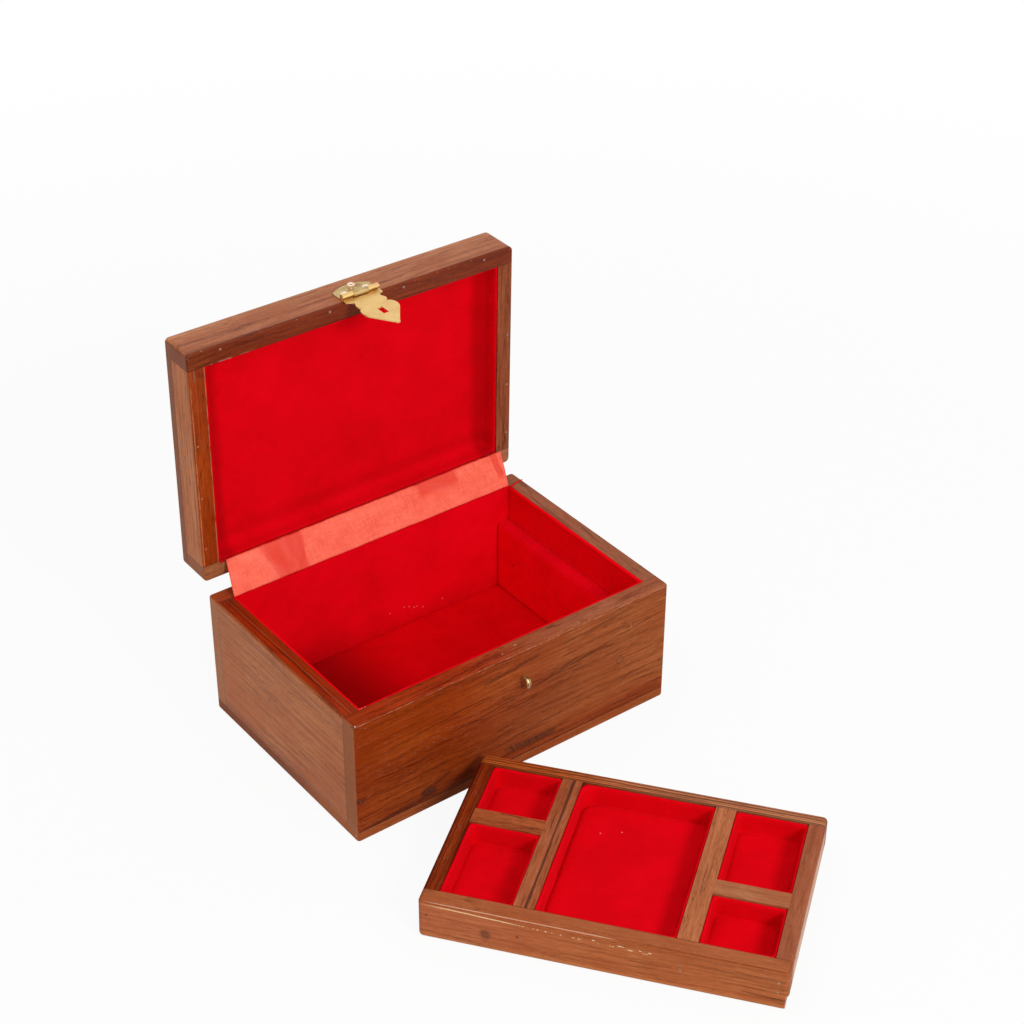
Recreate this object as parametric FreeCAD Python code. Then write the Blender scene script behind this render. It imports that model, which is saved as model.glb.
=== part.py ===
import FreeCAD, Part
import math
import os
from FreeCAD import Placement, Rotation, Vector

# Teak jewellery box lined in velvet: a hinged lid with a brass hasp and turn knob, a satin strip
# across the back of the opening, and a lift-out tray of five compartments.
# Millimetres. +Z is up, the front faces -Y, and the origin is the middle of the base's underside.
# The lid and its brass are drawn shut and then swung open on the hinge pins. The tray is drawn
# about its own middle and then set down beside the box.

# ---- carcass -----------------------------------------------------------------------------------
BOX_W = 254.0
BOX_D = 174.0
BASE_H = 95.0
WALL = 12.0
BOTTOM_T = 8.5
BASE_CORNER_R = 2.4
RIM_R = 1.8
FOOT_R = 2.2

# ---- lid ---------------------------------------------------------------------------------------
LID_H = 29.5
LID_PANEL_T = 9.0
LID_CORNER_R = 3.4
LID_TOP_R = 3.2
LID_RIM_R = 1.2
SEAM_GAP = 0.3
LID_OPEN_DEG = 89.0

# ---- velvet lining -----------------------------------------------------------------------------
LINING_T = 1.3
LINING_DROP = 0.6
FLOOR_PAD_T = 4.0
LID_RECESS = 13.0
LEDGE_T = 10.2
LEDGE_TOP = 67.0
LEDGE_R = 2.0

# ---- butt hinges -------------------------------------------------------------------------------
HINGE_INSET = 34.0
HINGE_L = 30.0
HINGE_BACK = 5.6
LEAF_T = 2.0
LEAF_REACH = 13.6
LEAF_GAP = 0.2
BARREL_R = 2.6
HINGE_PIN_R = 1.2
PIN_HEAD_R = 2.1
PIN_HEAD_T = 0.8
KNUCKLE_GAP = 0.15
BARREL_CLEAR = 0.4
MORTISE_FIT = 0.3
SCREW_SPAN = 18.0
SCREW_SET = 3.6
SCREW_HEAD_R = 1.9
SCREW_SHANK_R = 0.9
SCREW_L = 9.0

# ---- hasp and turn knob ------------------------------------------------------------------------
LATCH_X = 4.0
HASP_T = 1.0
HASP_W = 28.4
HASP_UP = 2.4
HASP_EYE_R = 2.3
HASP_OFF = 0.3
HASP_KNUCKLE_W = 11.4
EYE_LIP_DEG = 28.0
PLATE_SIDE = 11.0
PLATE_CROWN = 15.8
STRAP_SHOULDER = 5.2
STRAP_HOLLOW = 1.5
STRAP_WAIST_W = 20.4
STRAP_WAIST = 10.2
STRAP_LOBE = 1.7
STRAP_NOTCH_W = 18.4
STRAP_NOTCH = 17.0
STRAP_SWELL = 1.1
STRAP_BELLY_W = 26.6
STRAP_BELLY = 21.8
STRAP_TURN = 0.7
STRAP_FLANK_W = 23.4
STRAP_FLANK = 28.8
STRAP_TIP_W = 3.4
STRAP_L = 45.0
SLOT_W = 4.0
SLOT_L = 8.6
SLOT_MID = 26.4
RIVET_R = 1.5
RIVET_BORE_R = 0.8
RIVET_FLARE = 0.5
RIVET_RIM_R = 2.6
RIVET_RIM_T = 0.8
RIVET_EASE = 0.35
RIVET_L = 9.0
RIVET_SPAN = 17.0
RIVET_LOW = 5.6
RIVET_HIGH = 10.4
RIVET_PROUD = 2.2
KNOB_NECK_R = 1.7
KNOB_NECK_L = 2.2
KNOB_BLADE_T = 3.2
KNOB_BLADE_W = 7.8
KNOB_BLADE_L = 5.6
KNOB_BLADE_END_R = 3.1
KNOB_BLADE_R = 1.1
ROVE_R = 4.0
ROVE_T = 1.2
ROVE_SINK = 2.2
CLENCH_R = 2.2
CLENCH_T = 0.5

# ---- satin strip -------------------------------------------------------------------------------
SATIN_T = 0.6
SATIN_SIDE = 1.0
SATIN_CLEAR = 0.5

# ---- brads -------------------------------------------------------------------------------------
BRAD_R = 0.9
BRAD_L = 24.0
BRAD_INSET = 3.2
BRAD_END = 24.0
BRAD_MIDDLE_SPAN = 58.0
BRAD_MIDDLE_X = 8.0
BRAD_SIDE_STEP = 40.0
BRAD_SIDE_Y = 21.0

# ---- tray --------------------------------------------------------------------------------------
TRAY_FIT = 0.9
TRAY_D = 141.6
TRAY_H = 30.5
TRAY_RAIL = 10.4
TRAY_LIP = 19.4
TRAY_REBATE = 1.8
TRAY_CORNER_R = 3.2
TRAY_EDGE_R = 3.0
TRAY_BOTTOM_T = 3.2
TRAY_BOTTOM_UP = 10.0
DIVIDER_T = 12.8
DIVIDER_X = 49.9
CROSS_Y = 11.2
LINER_T = 1.4
LINER_PAD_T = 3.0
LINER_DROP = 0.8
NAIL_R = 0.8
NAIL_L = 22.0
NAIL_UP = 17.7
NAIL_ENDS = 6.5
NAIL_ENDS_SPAN = 7.2
NAIL_DIVIDERS = 48.5
NAIL_DIVIDERS_SPAN = 4.0
TRAY_X = -19.5
TRAY_CLEAR = 4.6
TRAY_TURN_DEG = -52.75

# ---- shared clearances -------------------------------------------------------------------------
PIN_RUN = 0.06
FASTENER_FIT = 0.05

# ---- places that follow ------------------------------------------------------------------------
FRONT = -BOX_D / 2
BACK = BOX_D / 2
WELL_W = BOX_W - 2 * WALL
WELL_D = BOX_D - 2 * WALL
FLOOR_TOP = BOTTOM_T + FLOOR_PAD_T
LID_BOTTOM = BASE_H + SEAM_GAP
LID_TOP = LID_BOTTOM + LID_H
PANEL_BOTTOM = LID_TOP - LID_PANEL_T
HINGE_X = BOX_W / 2 - HINGE_INSET - HINGE_L / 2
HINGE_Y = BACK + HINGE_BACK
HINGE_Z = BASE_H + LEAF_T + LEAF_GAP
HASP_Y = FRONT - HASP_OFF - HASP_EYE_R
HASP_Z = LID_BOTTOM + HASP_UP
HASP_PIN_R = HASP_EYE_R - HASP_T - PIN_RUN
KNOB_Z = HASP_Z - SLOT_MID
TRAY_W = WELL_W - 2 * LINING_T - 2 * TRAY_FIT
TRAY_IN_W = TRAY_W - 2 * TRAY_RAIL
TRAY_IN_D = TRAY_D - 2 * TRAY_RAIL
TRAY_FLOOR = TRAY_BOTTOM_UP + TRAY_BOTTOM_T
TRAY_TURN = math.radians(TRAY_TURN_DEG)
TRAY_REACH = (TRAY_D * math.cos(TRAY_TURN) + TRAY_W * abs(math.sin(TRAY_TURN))) / 2
TRAY_Y = FRONT - TRAY_CLEAR - TRAY_REACH

X_AXIS = Vector(1, 0, 0)
Y_AXIS = Vector(0, 1, 0)
Z_AXIS = Vector(0, 0, 1)


# ---- helpers -----------------------------------------------------------------------------------
def block(x0, x1, y0, y1, z0, z1):
    return Part.makeBox(x1 - x0, y1 - y0, z1 - z0, Vector(x0, y0, z0))


def centred_block(width, depth, z0, z1):
    return block(-width / 2, width / 2, -depth / 2, depth / 2, z0, z1)


def rod(radius, length, start, direction):
    return Part.makeCylinder(radius, length, start, direction)


def edges_along(shape, axis):
    """The straight edges that run along one axis."""
    found = []
    for edge in shape.Edges:
        first, last = edge.Vertexes[0].Point, edge.Vertexes[-1].Point
        if (last - first).cross(axis).Length < 1e-6:
            found.append(edge)
    return found


def edges_at_height(shape, z):
    """The edges that lie in the horizontal plane at z."""
    return [e for e in shape.Edges if all(abs(v.Z - z) < 1e-6 for v in e.Vertexes)]


def rounded_block(width, depth, z0, z1, corner_r, top_r, bottom_r):
    """A box with rounded corners, and rounded edges around its top and its underside."""
    body = centred_block(width, depth, z0, z1)
    body = body.makeFillet(corner_r, edges_along(body, Z_AXIS))
    body = body.makeFillet(top_r, edges_at_height(body, z1))
    return body.makeFillet(bottom_r, edges_at_height(body, z0))


def merged(shapes):
    return shapes[0].fuse(shapes[1:]).removeSplitter()


def group(shapes):
    return Part.makeCompound(shapes)


def mirrored(shape):
    return shape.mirror(Vector(0, 0, 0), X_AXIS)


def turned(profile, start, direction):
    """Solid turned about a horizontal line from start; the profile lists (along, radius)."""
    side = direction.cross(Z_AXIS)
    points = [start + direction * along + side * radius for along, radius in profile]
    return Part.Face(Part.makePolygon(points + points[:1])).revolve(start, direction, 360)


def frame_rails(body, width, depth, wall):
    """Cut a rounded ring into full-length front and back boards with side boards between."""
    inner = depth / 2 - wall
    tall = body.BoundBox
    low, high = tall.ZMin, tall.ZMax
    ring = body.cut(centred_block(width - 2 * wall, depth - 2 * wall, low, high))
    front = ring.common(block(-width / 2, width / 2, -depth / 2, -inner, low, high))
    back = ring.common(block(-width / 2, width / 2, inner, depth / 2, low, high))
    left = ring.common(block(-width / 2, 0, -inner, inner, low, high))
    right = ring.common(block(0, width / 2, -inner, inner, low, high))
    return {"front": front, "back": back, "left": left, "right": right}


def wall_skins(width, depth, z0, z1, thick):
    """Four lining panels that stand against the inside of a rectangular opening."""
    x, y = width / 2, depth / 2
    return {
        "front": block(-x, x, -y, -y + thick, z0, z1),
        "back": block(-x, x, y - thick, y, z0, z1),
        "left": block(-x, -x + thick, -y + thick, y - thick, z0, z1),
        "right": block(x - thick, x, -y + thick, y - thick, z0, z1),
    }


# ---- base --------------------------------------------------------------------------------------
def base_boards():
    whole = rounded_block(BOX_W, BOX_D, 0, BASE_H, BASE_CORNER_R, RIM_R, FOOT_R)
    bottom = whole.common(centred_block(BOX_W, BOX_D, 0, BOTTOM_T))
    walls = whole.common(centred_block(BOX_W, BOX_D, BOTTOM_T, BASE_H))
    boards = frame_rails(walls, BOX_W, BOX_D, WALL)
    knob_hole = rod(KNOB_NECK_R + PIN_RUN, WALL, Vector(LATCH_X, FRONT, KNOB_Z), Y_AXIS)
    inside = FRONT + WALL
    sinking = rod(ROVE_R + PIN_RUN, ROVE_SINK, Vector(LATCH_X, inside - ROVE_SINK, KNOB_Z), Y_AXIS)
    boards["front"] = boards["front"].cut([knob_hole, sinking])
    pilots = [screw_pilot(x, y) for x, y in leaf_screw_places()]
    boards["back"] = boards["back"].cut(pilots)
    boards["bottom"] = bottom
    return boards


def base_linings():
    skins = wall_skins(WELL_W, WELL_D, FLOOR_TOP, BASE_H - LINING_DROP, LINING_T)
    skins["floor"] = centred_block(WELL_W, WELL_D, BOTTOM_T, FLOOR_TOP)
    return skins


def tray_ledge_right():
    """Covered board that stands on the floor against the side lining and carries the tray."""
    outer = WELL_W / 2 - LINING_T
    half = WELL_D / 2 - LINING_T
    board = block(outer - LEDGE_T, outer, -half, half, FLOOR_TOP, LEDGE_TOP)
    top_edges = edges_at_height(board, LEDGE_TOP)
    nose = [e for e in top_edges if e.BoundBox.XMax < outer - LEDGE_T + 1e-6]
    return board.makeFillet(LEDGE_R, nose)


# ---- butt hinges -------------------------------------------------------------------------------
def leaf_screw_places():
    y = HINGE_Y - LEAF_REACH + SCREW_SET
    return [(side * HINGE_X + end * SCREW_SPAN / 2, y) for side in (-1, 1) for end in (-1, 1)]


def screw_sink(x, y, extra):
    """Countersunk screw standing head up at the pins' height, grown by extra all round."""
    top = HINGE_Z - LEAF_GAP
    head_t = SCREW_HEAD_R - SCREW_SHANK_R
    head = Part.makeCone(SCREW_SHANK_R + extra, SCREW_HEAD_R + extra, head_t,
                         Vector(x, y, top - head_t))
    shank = rod(SCREW_SHANK_R + extra, SCREW_L - head_t, Vector(x, y, top - SCREW_L), Z_AXIS)
    return merged([shank, head])


def screw_pilot(x, y):
    return screw_sink(x, y, FASTENER_FIT)


def over_pins(shape):
    """Turn something on the base's leaf over about the pin, onto the shut lid's leaf."""
    flipped = shape.copy()
    flipped.rotate(Vector(0, HINGE_Y, HINGE_Z), Y_AXIS, 180)
    return flipped


def knuckle_spans(outer):
    """Spans along the pin: the two outer knuckles, or the one between them."""
    third = HINGE_L / 3
    half_gap = KNUCKLE_GAP / 2
    if outer:
        return [(-HINGE_L / 2, -third / 2 - half_gap), (third / 2 + half_gap, HINGE_L / 2)]
    return [(-third / 2 + half_gap, third / 2 - half_gap)]


def butt_leaf(outer, x):
    """Cast leaf lying under the pin's plane, with its knuckles; holes for two screws."""
    low, high = HINGE_Z - LEAF_GAP - LEAF_T, HINGE_Z - LEAF_GAP
    flap_end = HINGE_Y - BARREL_R - BARREL_CLEAR
    parts = [block(x - HINGE_L / 2, x + HINGE_L / 2, HINGE_Y - LEAF_REACH, flap_end, low, high)]
    for x0, x1 in knuckle_spans(outer):
        parts.append(block(x + x0, x + x1, flap_end, HINGE_Y, low, high))
        parts.append(rod(BARREL_R, x1 - x0, Vector(x + x0, HINGE_Y, HINGE_Z), X_AXIS))
    leaf = merged(parts)
    bore = rod(HINGE_PIN_R + PIN_RUN, HINGE_L, Vector(x - HINGE_L / 2, HINGE_Y, HINGE_Z), X_AXIS)
    sinks = [screw_pilot(sx, sy) for sx, sy in leaf_screw_places() if abs(sx - x) < HINGE_L / 2]
    return leaf.cut([bore] + sinks)


def hinge_pin(x):
    """Pin with an eased button head at each end, just clear of the knuckles."""
    ease = PIN_HEAD_T / 2
    far = HINGE_L + 2 * (PIN_RUN + PIN_HEAD_T)
    head = [(0, 0), (0, PIN_HEAD_R - ease), (ease, PIN_HEAD_R), (PIN_HEAD_T, PIN_HEAD_R),
            (PIN_HEAD_T, HINGE_PIN_R)]
    other = [(far - along, radius) for along, radius in reversed(head)]
    return turned(head + other, Vector(x - far / 2, HINGE_Y, HINGE_Z), X_AXIS)


# ---- lid, drawn shut ---------------------------------------------------------------------------
def lid_boards():
    whole = rounded_block(BOX_W, BOX_D, LID_BOTTOM, LID_TOP, LID_CORNER_R, LID_TOP_R, LID_RIM_R)
    panel = whole.common(centred_block(BOX_W, BOX_D, PANEL_BOTTOM, LID_TOP))
    ring = whole.common(centred_block(BOX_W, BOX_D, LID_BOTTOM, PANEL_BOTTOM))
    rails = frame_rails(ring, BOX_W, BOX_D, WALL)
    top = HINGE_Z + LEAF_GAP + LEAF_T
    half = HINGE_L / 2 + MORTISE_FIT
    front = HINGE_Y - LEAF_REACH - MORTISE_FIT
    hinge_cuts = [block(x - half, x + half, front, BACK, LID_BOTTOM, top) for x in (-HINGE_X, HINGE_X)]
    hinge_cuts += [over_pins(screw_pilot(x, y)) for x, y in leaf_screw_places()]
    rails["back"] = rails["back"].cut(hinge_cuts)
    rails["front"] = rails["front"].cut([rivet_envelope(p) for p in rivet_places()])
    for side, places in brad_places().items():
        rails[side] = rails[side].cut([brad(p, FASTENER_FIT) for p in places])
        panel = panel.cut([brad(p, FASTENER_FIT) for p in places])
    rails["panel"] = panel
    return rails


def brad_places():
    """Near the outer edge, but near the inner edge at the back, clear of the hinges."""
    x, y = BOX_W / 2 - BRAD_INSET, BOX_D / 2 - BRAD_INSET
    end, middle = BOX_W / 2 - BRAD_END, BRAD_MIDDLE_SPAN / 2
    along = [-end, BRAD_MIDDLE_X - middle, BRAD_MIDDLE_X + middle, end]
    across = [BRAD_SIDE_Y + step * BRAD_SIDE_STEP for step in (-1, 0, 1)]
    return {
        "front": [(px, -y) for px in along],
        "back": [(px, y - WALL + 2 * BRAD_INSET) for px in along],
        "left": [(-x, py) for py in across],
        "right": [(x, py) for py in across],
    }


def brad(place, extra):
    """Plain brad driven up through a rail into the panel."""
    return rod(BRAD_R + extra, BRAD_L + extra, Vector(place[0], place[1], LID_BOTTOM), Z_AXIS)


def lid_linings():
    top = LID_BOTTOM + LID_RECESS
    skins = wall_skins(WELL_W, WELL_D, LID_BOTTOM + LINING_DROP, PANEL_BOTTOM, LINING_T)
    skins["pad"] = centred_block(WELL_W - 2 * LINING_T, WELL_D - 2 * LINING_T, top, PANEL_BOTTOM)
    return skins


# ---- hasp, drawn shut --------------------------------------------------------------------------
def rolled_eye(leaf_length, x0, x1):
    """Sheet rolled around the pin: leaf down -Z from the eye, its back face towards the box."""
    back = HASP_Y + HASP_EYE_R
    bore_r = HASP_EYE_R - HASP_T
    end = math.radians(270 - EYE_LIP_DEG)

    def at(radius, angle):
        return Vector(x0, HASP_Y + radius * math.cos(angle), HASP_Z + radius * math.sin(angle))

    foot_out = Vector(x0, back, HASP_Z - leaf_length)
    foot_in = Vector(x0, back - HASP_T, HASP_Z - leaf_length)
    outer = Part.Arc(at(HASP_EYE_R, 0), at(HASP_EYE_R, end / 2), at(HASP_EYE_R, end))
    inner = Part.Arc(at(bore_r, end), at(bore_r, end / 2), at(bore_r, 0))
    edges = [
        Part.LineSegment(foot_out, at(HASP_EYE_R, 0)).toShape(),
        outer.toShape(),
        Part.LineSegment(at(HASP_EYE_R, end), at(bore_r, end)).toShape(),
        inner.toShape(),
        Part.LineSegment(at(bore_r, 0), foot_in).toShape(),
        Part.LineSegment(foot_in, foot_out).toShape(),
    ]
    return Part.Face(Part.Wire(edges)).extrude(Vector(x1 - x0, 0, 0))


def hasp_spans(outer):
    middle = HASP_KNUCKLE_W / 2
    half_gap = KNUCKLE_GAP / 2
    if outer:
        return [(-HASP_W / 2, -middle - half_gap), (middle + half_gap, HASP_W / 2)]
    return [(-middle + half_gap, middle - half_gap)]


def sheet_from_outline(edges):
    """Brass sheet whose back face lies in the eye's tangent plane."""
    face = Part.Face(Part.Wire(Part.__sortEdges__(edges)))
    return face.extrude(Vector(0, -HASP_T, 0))


def on_sheet(u, drop):
    return Vector(LATCH_X + u, HASP_Y + HASP_EYE_R, HASP_Z - drop)


def line(a, b):
    return Part.LineSegment(on_sheet(*a), on_sheet(*b)).toShape()


def arc(a, middle, b):
    return Part.Arc(on_sheet(*a), on_sheet(*middle), on_sheet(*b)).toShape()


def bowed(a, b, rise):
    """Arc between two points that swells by rise, away from the strap's middle line."""
    side = 1 if a[0] + b[0] > 0 else -1
    run, fall = b[0] - a[0], b[1] - a[1]
    chord = math.hypot(run, fall)
    across, along = side * fall * rise / chord, side * run * rise / chord
    middle = ((a[0] + b[0]) / 2 + across, (a[1] + b[1]) / 2 - along)
    return arc(a, middle, b)


def strap_side(s, root):
    """One edge of the ogee strap: shoulder, hollow, lobe, belly, then straight to the tip."""
    top = (s * HASP_W / 2, root)
    shoulder = (s * HASP_W / 2, STRAP_SHOULDER)
    waist = (s * STRAP_WAIST_W / 2, STRAP_WAIST)
    notch = (s * STRAP_NOTCH_W / 2, STRAP_NOTCH)
    belly = (s * STRAP_BELLY_W / 2, STRAP_BELLY)
    flank = (s * STRAP_FLANK_W / 2, STRAP_FLANK)
    tip = (s * STRAP_TIP_W / 2, STRAP_L - STRAP_TIP_W / 2)
    return [
        line(top, shoulder),
        bowed(shoulder, waist, -STRAP_HOLLOW),
        bowed(waist, notch, STRAP_LOBE),
        bowed(notch, belly, STRAP_SWELL),
        bowed(belly, flank, STRAP_TURN),
        line(flank, tip),
    ]


def hasp_strap():
    """Ogee strap with two rolled eyes and a slot that drops over the turn knob."""
    root = HASP_EYE_R + BARREL_CLEAR
    half_tip = STRAP_TIP_W / 2
    edges = strap_side(-1, root) + strap_side(1, root)
    edges.append(line((-HASP_W / 2, root), (HASP_W / 2, root)))
    edges.append(arc((-half_tip, STRAP_L - half_tip), (0, STRAP_L), (half_tip, STRAP_L - half_tip)))
    strap = sheet_from_outline(edges)
    eyes = [rolled_eye(root, LATCH_X + x0, LATCH_X + x1) for x0, x1 in hasp_spans(True)]
    strap = merged([strap] + eyes)
    slot = block(LATCH_X - SLOT_W / 2, LATCH_X + SLOT_W / 2, HASP_Y, FRONT,
                 KNOB_Z - SLOT_L / 2, KNOB_Z + SLOT_L / 2)
    return strap.cut(slot)


def hasp_plate():
    """Arched plate riveted to the lid, with the middle eye; it beds on the wood."""
    root = HASP_EYE_R + BARREL_CLEAR
    low, side = -root, -PLATE_SIDE
    edges = [
        line((-HASP_W / 2, low), (HASP_W / 2, low)),
        line((-HASP_W / 2, low), (-HASP_W / 2, side)),
        line((HASP_W / 2, low), (HASP_W / 2, side)),
        arc((-HASP_W / 2, side), (0, -PLATE_CROWN), (HASP_W / 2, side)),
    ]
    plate = sheet_from_outline(edges)
    plate.translate(Vector(0, HASP_OFF, 0))
    x0, x1 = hasp_spans(False)[0]
    eye = rolled_eye(root, LATCH_X + x0, LATCH_X + x1)
    eye.rotate(Vector(LATCH_X, HASP_Y, HASP_Z), Y_AXIS, 180)
    web = block(LATCH_X + x0, LATCH_X + x1, FRONT - HASP_T, FRONT, HASP_Z, HASP_Z + root)
    plate = merged([plate, eye, web])
    return plate.cut([rivet_envelope(p) for p in rivet_places()])


def hasp_pin():
    ease = HASP_PIN_R / 3
    profile = [(0, 0), (0, HASP_PIN_R - ease), (ease, HASP_PIN_R), (HASP_W - ease, HASP_PIN_R),
               (HASP_W, HASP_PIN_R - ease), (HASP_W, 0)]
    return turned(profile, Vector(LATCH_X - HASP_W / 2, HASP_Y, HASP_Z), X_AXIS)


def rivet_places():
    """Across, up from the pin, and how far the rim stands off the plate."""
    half = RIVET_SPAN / 2
    return [(-half, RIVET_LOW, 0.0), (half, RIVET_LOW, 0.0), (0.0, RIVET_HIGH, RIVET_PROUD)]


def rivet_envelope(place):
    u, up, _ = place
    start = Vector(LATCH_X + u, FRONT - HASP_T, HASP_Z + up)
    return rod(RIVET_R + FASTENER_FIT, RIVET_L + HASP_T, start, Y_AXIS)


def rivet(place):
    """Tubular brass nail with a wide rim and a funnelled mouth."""
    u, up, proud = place
    start = Vector(LATCH_X + u, FRONT - HASP_T - proud - RIVET_RIM_T, HASP_Z + up)
    end = RIVET_RIM_T + RIVET_L
    profile = [
        (RIVET_FLARE, RIVET_BORE_R),
        (0, RIVET_BORE_R + RIVET_FLARE),
        (0, RIVET_RIM_R - RIVET_EASE),
        (RIVET_EASE, RIVET_RIM_R),
        (RIVET_RIM_T, RIVET_RIM_R),
        (RIVET_RIM_T, RIVET_R),
        (end, RIVET_R),
        (end, 0),
        (end - RIVET_L / 2, 0),
        (end - RIVET_L / 2, RIVET_BORE_R),
    ]
    return turned(profile, start, Y_AXIS)


# ---- turn knob ---------------------------------------------------------------------------------
def turn_knob():
    """Turn button: a flat oval blade on a round neck that runs through the front board."""
    root = FRONT - KNOB_NECK_L
    outer = root - KNOB_BLADE_L
    neck_l = KNOB_NECK_L + WALL - ROVE_SINK + ROVE_T
    profile = [(0, 0), (0, KNOB_NECK_R), (neck_l, KNOB_NECK_R), (neck_l, CLENCH_R),
               (neck_l + CLENCH_T, CLENCH_R), (neck_l + CLENCH_T, 0)]
    neck = turned(profile, Vector(LATCH_X, root, KNOB_Z), Y_AXIS)
    half_t, half_w = KNOB_BLADE_T / 2, KNOB_BLADE_W / 2
    blade = block(LATCH_X - half_t, LATCH_X + half_t, outer, root, KNOB_Z - half_w, KNOB_Z + half_w)
    corners = [e for e in edges_along(blade, X_AXIS) if e.BoundBox.YMax < outer + 1e-6]
    blade = blade.makeFillet(KNOB_BLADE_END_R, corners)
    rim = [e for e in blade.Edges if e.BoundBox.XLength < 1e-6 and e.BoundBox.YMin < root - 1e-6]
    return merged([neck, blade.makeFillet(KNOB_BLADE_R, rim)])


def knob_rove():
    """Washer let into the inside of the front board; the knob's end is clenched over it."""
    face = FRONT + WALL - ROVE_SINK
    disc = rod(ROVE_R, ROVE_T, Vector(LATCH_X, face, KNOB_Z), Y_AXIS)
    return disc.cut(rod(KNOB_NECK_R + PIN_RUN, ROVE_T, Vector(LATCH_X, face, KNOB_Z), Y_AXIS))


# ---- satin strip -------------------------------------------------------------------------------
def opened(shape):
    """Swing something drawn on the shut lid to the open lid."""
    swung = shape.copy()
    swung.rotate(Vector(0, HINGE_Y, HINGE_Z), X_AXIS, -LID_OPEN_DEG)
    return swung


def satin_strip():
    """Taut strip from the top of the base's back lining to the edge of the lid's back lining."""
    half = WELL_W / 2 - SATIN_SIDE
    low = Vector(-half, BACK - WALL - LINING_T, BASE_H + SATIN_CLEAR)
    top = opened(Part.Vertex(0, BACK - WALL, LID_BOTTOM)).Point
    high = Vector(-half, top.y - SATIN_CLEAR, top.z)
    run = high - low
    out = Vector(0, -run.z, run.y).normalize() * SATIN_T
    corners = [low, high, high + out, low + out, low]
    return Part.Face(Part.makePolygon(corners)).extrude(Vector(2 * half, 0, 0))


# ---- tray, drawn about its own middle ----------------------------------------------------------
def tray_rails():
    """Rails with a rebate under each end, run right through on the right and stopped on the left."""
    whole = rounded_block(TRAY_W, TRAY_D, 0, TRAY_H, TRAY_CORNER_R, TRAY_EDGE_R, TRAY_EDGE_R)
    rails = frame_rails(whole, TRAY_W, TRAY_D, TRAY_RAIL)
    outside = TRAY_W / 2
    rebate = block(outside - TRAY_REBATE, outside, -TRAY_D / 2, TRAY_D / 2, 0, TRAY_H - TRAY_LIP)
    for side in ("front", "back", "right"):
        rails[side] = rails[side].cut(rebate)
    rails["left"] = rails["left"].cut(mirrored(rebate))
    return rails


def nail_places():
    ends = (TRAY_W / 2 - NAIL_ENDS, NAIL_ENDS_SPAN)
    dividers = (NAIL_DIVIDERS, NAIL_DIVIDERS_SPAN)
    pairs = [(s * x, span) for s in (-1, 1) for x, span in (ends, dividers)]
    return [(x, NAIL_UP + t * span / 2) for x, span in pairs for t in (-1, 1)]


def tray_nail(place, facing, extra):
    """Headless nail through the front or back rail into the board behind it."""
    x, z = place
    start = Vector(x, -facing * TRAY_D / 2, z)
    return rod(NAIL_R + extra, NAIL_L + extra, start, Vector(0, facing, 0))


def tray_dividers():
    """Two long dividers, and a short one on each side of them."""
    half = TRAY_IN_D / 2
    middle, inner, outer = DIVIDER_X - DIVIDER_T / 2, DIVIDER_X + DIVIDER_T / 2, TRAY_IN_W / 2
    low, high = -CROSS_Y - DIVIDER_T / 2, -CROSS_Y + DIVIDER_T / 2
    long_one = block(middle, inner, -half, half, TRAY_FLOOR, TRAY_H)
    short = block(inner, outer, low, high, TRAY_FLOOR, TRAY_H)
    other = short.copy()
    other.rotate(Vector(0, 0, 0), Z_AXIS, 180)
    return {
        "long_right": long_one,
        "long_left": mirrored(long_one),
        "short_right": short,
        "short_left": other,
    }


def tray_liner(x0, x1, y0, y1):
    """Covered card folded up around a padded floor."""
    top = TRAY_H - LINER_DROP
    floor = TRAY_FLOOR + LINER_PAD_T
    outside = block(x0, x1, y0, y1, TRAY_FLOOR, top)
    inside = block(x0 + LINER_T, x1 - LINER_T, y0 + LINER_T, y1 - LINER_T, floor, top)
    return outside.cut(inside)


def tray_liners():
    inner, outer = DIVIDER_X + DIVIDER_T / 2, TRAY_IN_W / 2
    half = TRAY_IN_D / 2
    low, high = CROSS_Y - DIVIDER_T / 2, CROSS_Y + DIVIDER_T / 2
    middle = DIVIDER_X - DIVIDER_T / 2
    return {
        "back_left": tray_liner(-outer, -inner, high, half),
        "front_left": tray_liner(-outer, -inner, -half, low),
        "centre": tray_liner(-middle, middle, -half, half),
        "back_right": tray_liner(inner, outer, -low, half),
        "front_right": tray_liner(inner, outer, -half, -high),
    }


def set_down(shape):
    """Put a piece of the tray where the tray lies, on the table in front of the box."""
    lying = Placement(Vector(TRAY_X, TRAY_Y, 0), Rotation(Z_AXIS, TRAY_TURN_DEG))
    shape.Placement = lying.multiply(shape.Placement)
    return shape


# ---- assembly ----------------------------------------------------------------------------------
def base_nodes():
    nodes = {"base_%s_board" % side: shape for side, shape in base_boards().items()}
    nodes.update({"base_lining_%s" % side: shape for side, shape in base_linings().items()})
    right = tray_ledge_right()
    nodes["tray_ledge_right"] = right
    nodes["tray_ledge_left"] = mirrored(right)
    for side, x in (("left", -HINGE_X), ("right", HINGE_X)):
        nodes["hinge_%s_base_leaf" % side] = butt_leaf(True, x)
        nodes["hinge_%s_pin" % side] = hinge_pin(x)
    nodes["hinge_base_screws"] = group([screw_sink(x, y, 0) for x, y in leaf_screw_places()])
    nodes["knob_rove"] = knob_rove()
    nodes["turn_knob"] = turn_knob()
    nodes["satin_strip"] = satin_strip()
    return nodes


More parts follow.
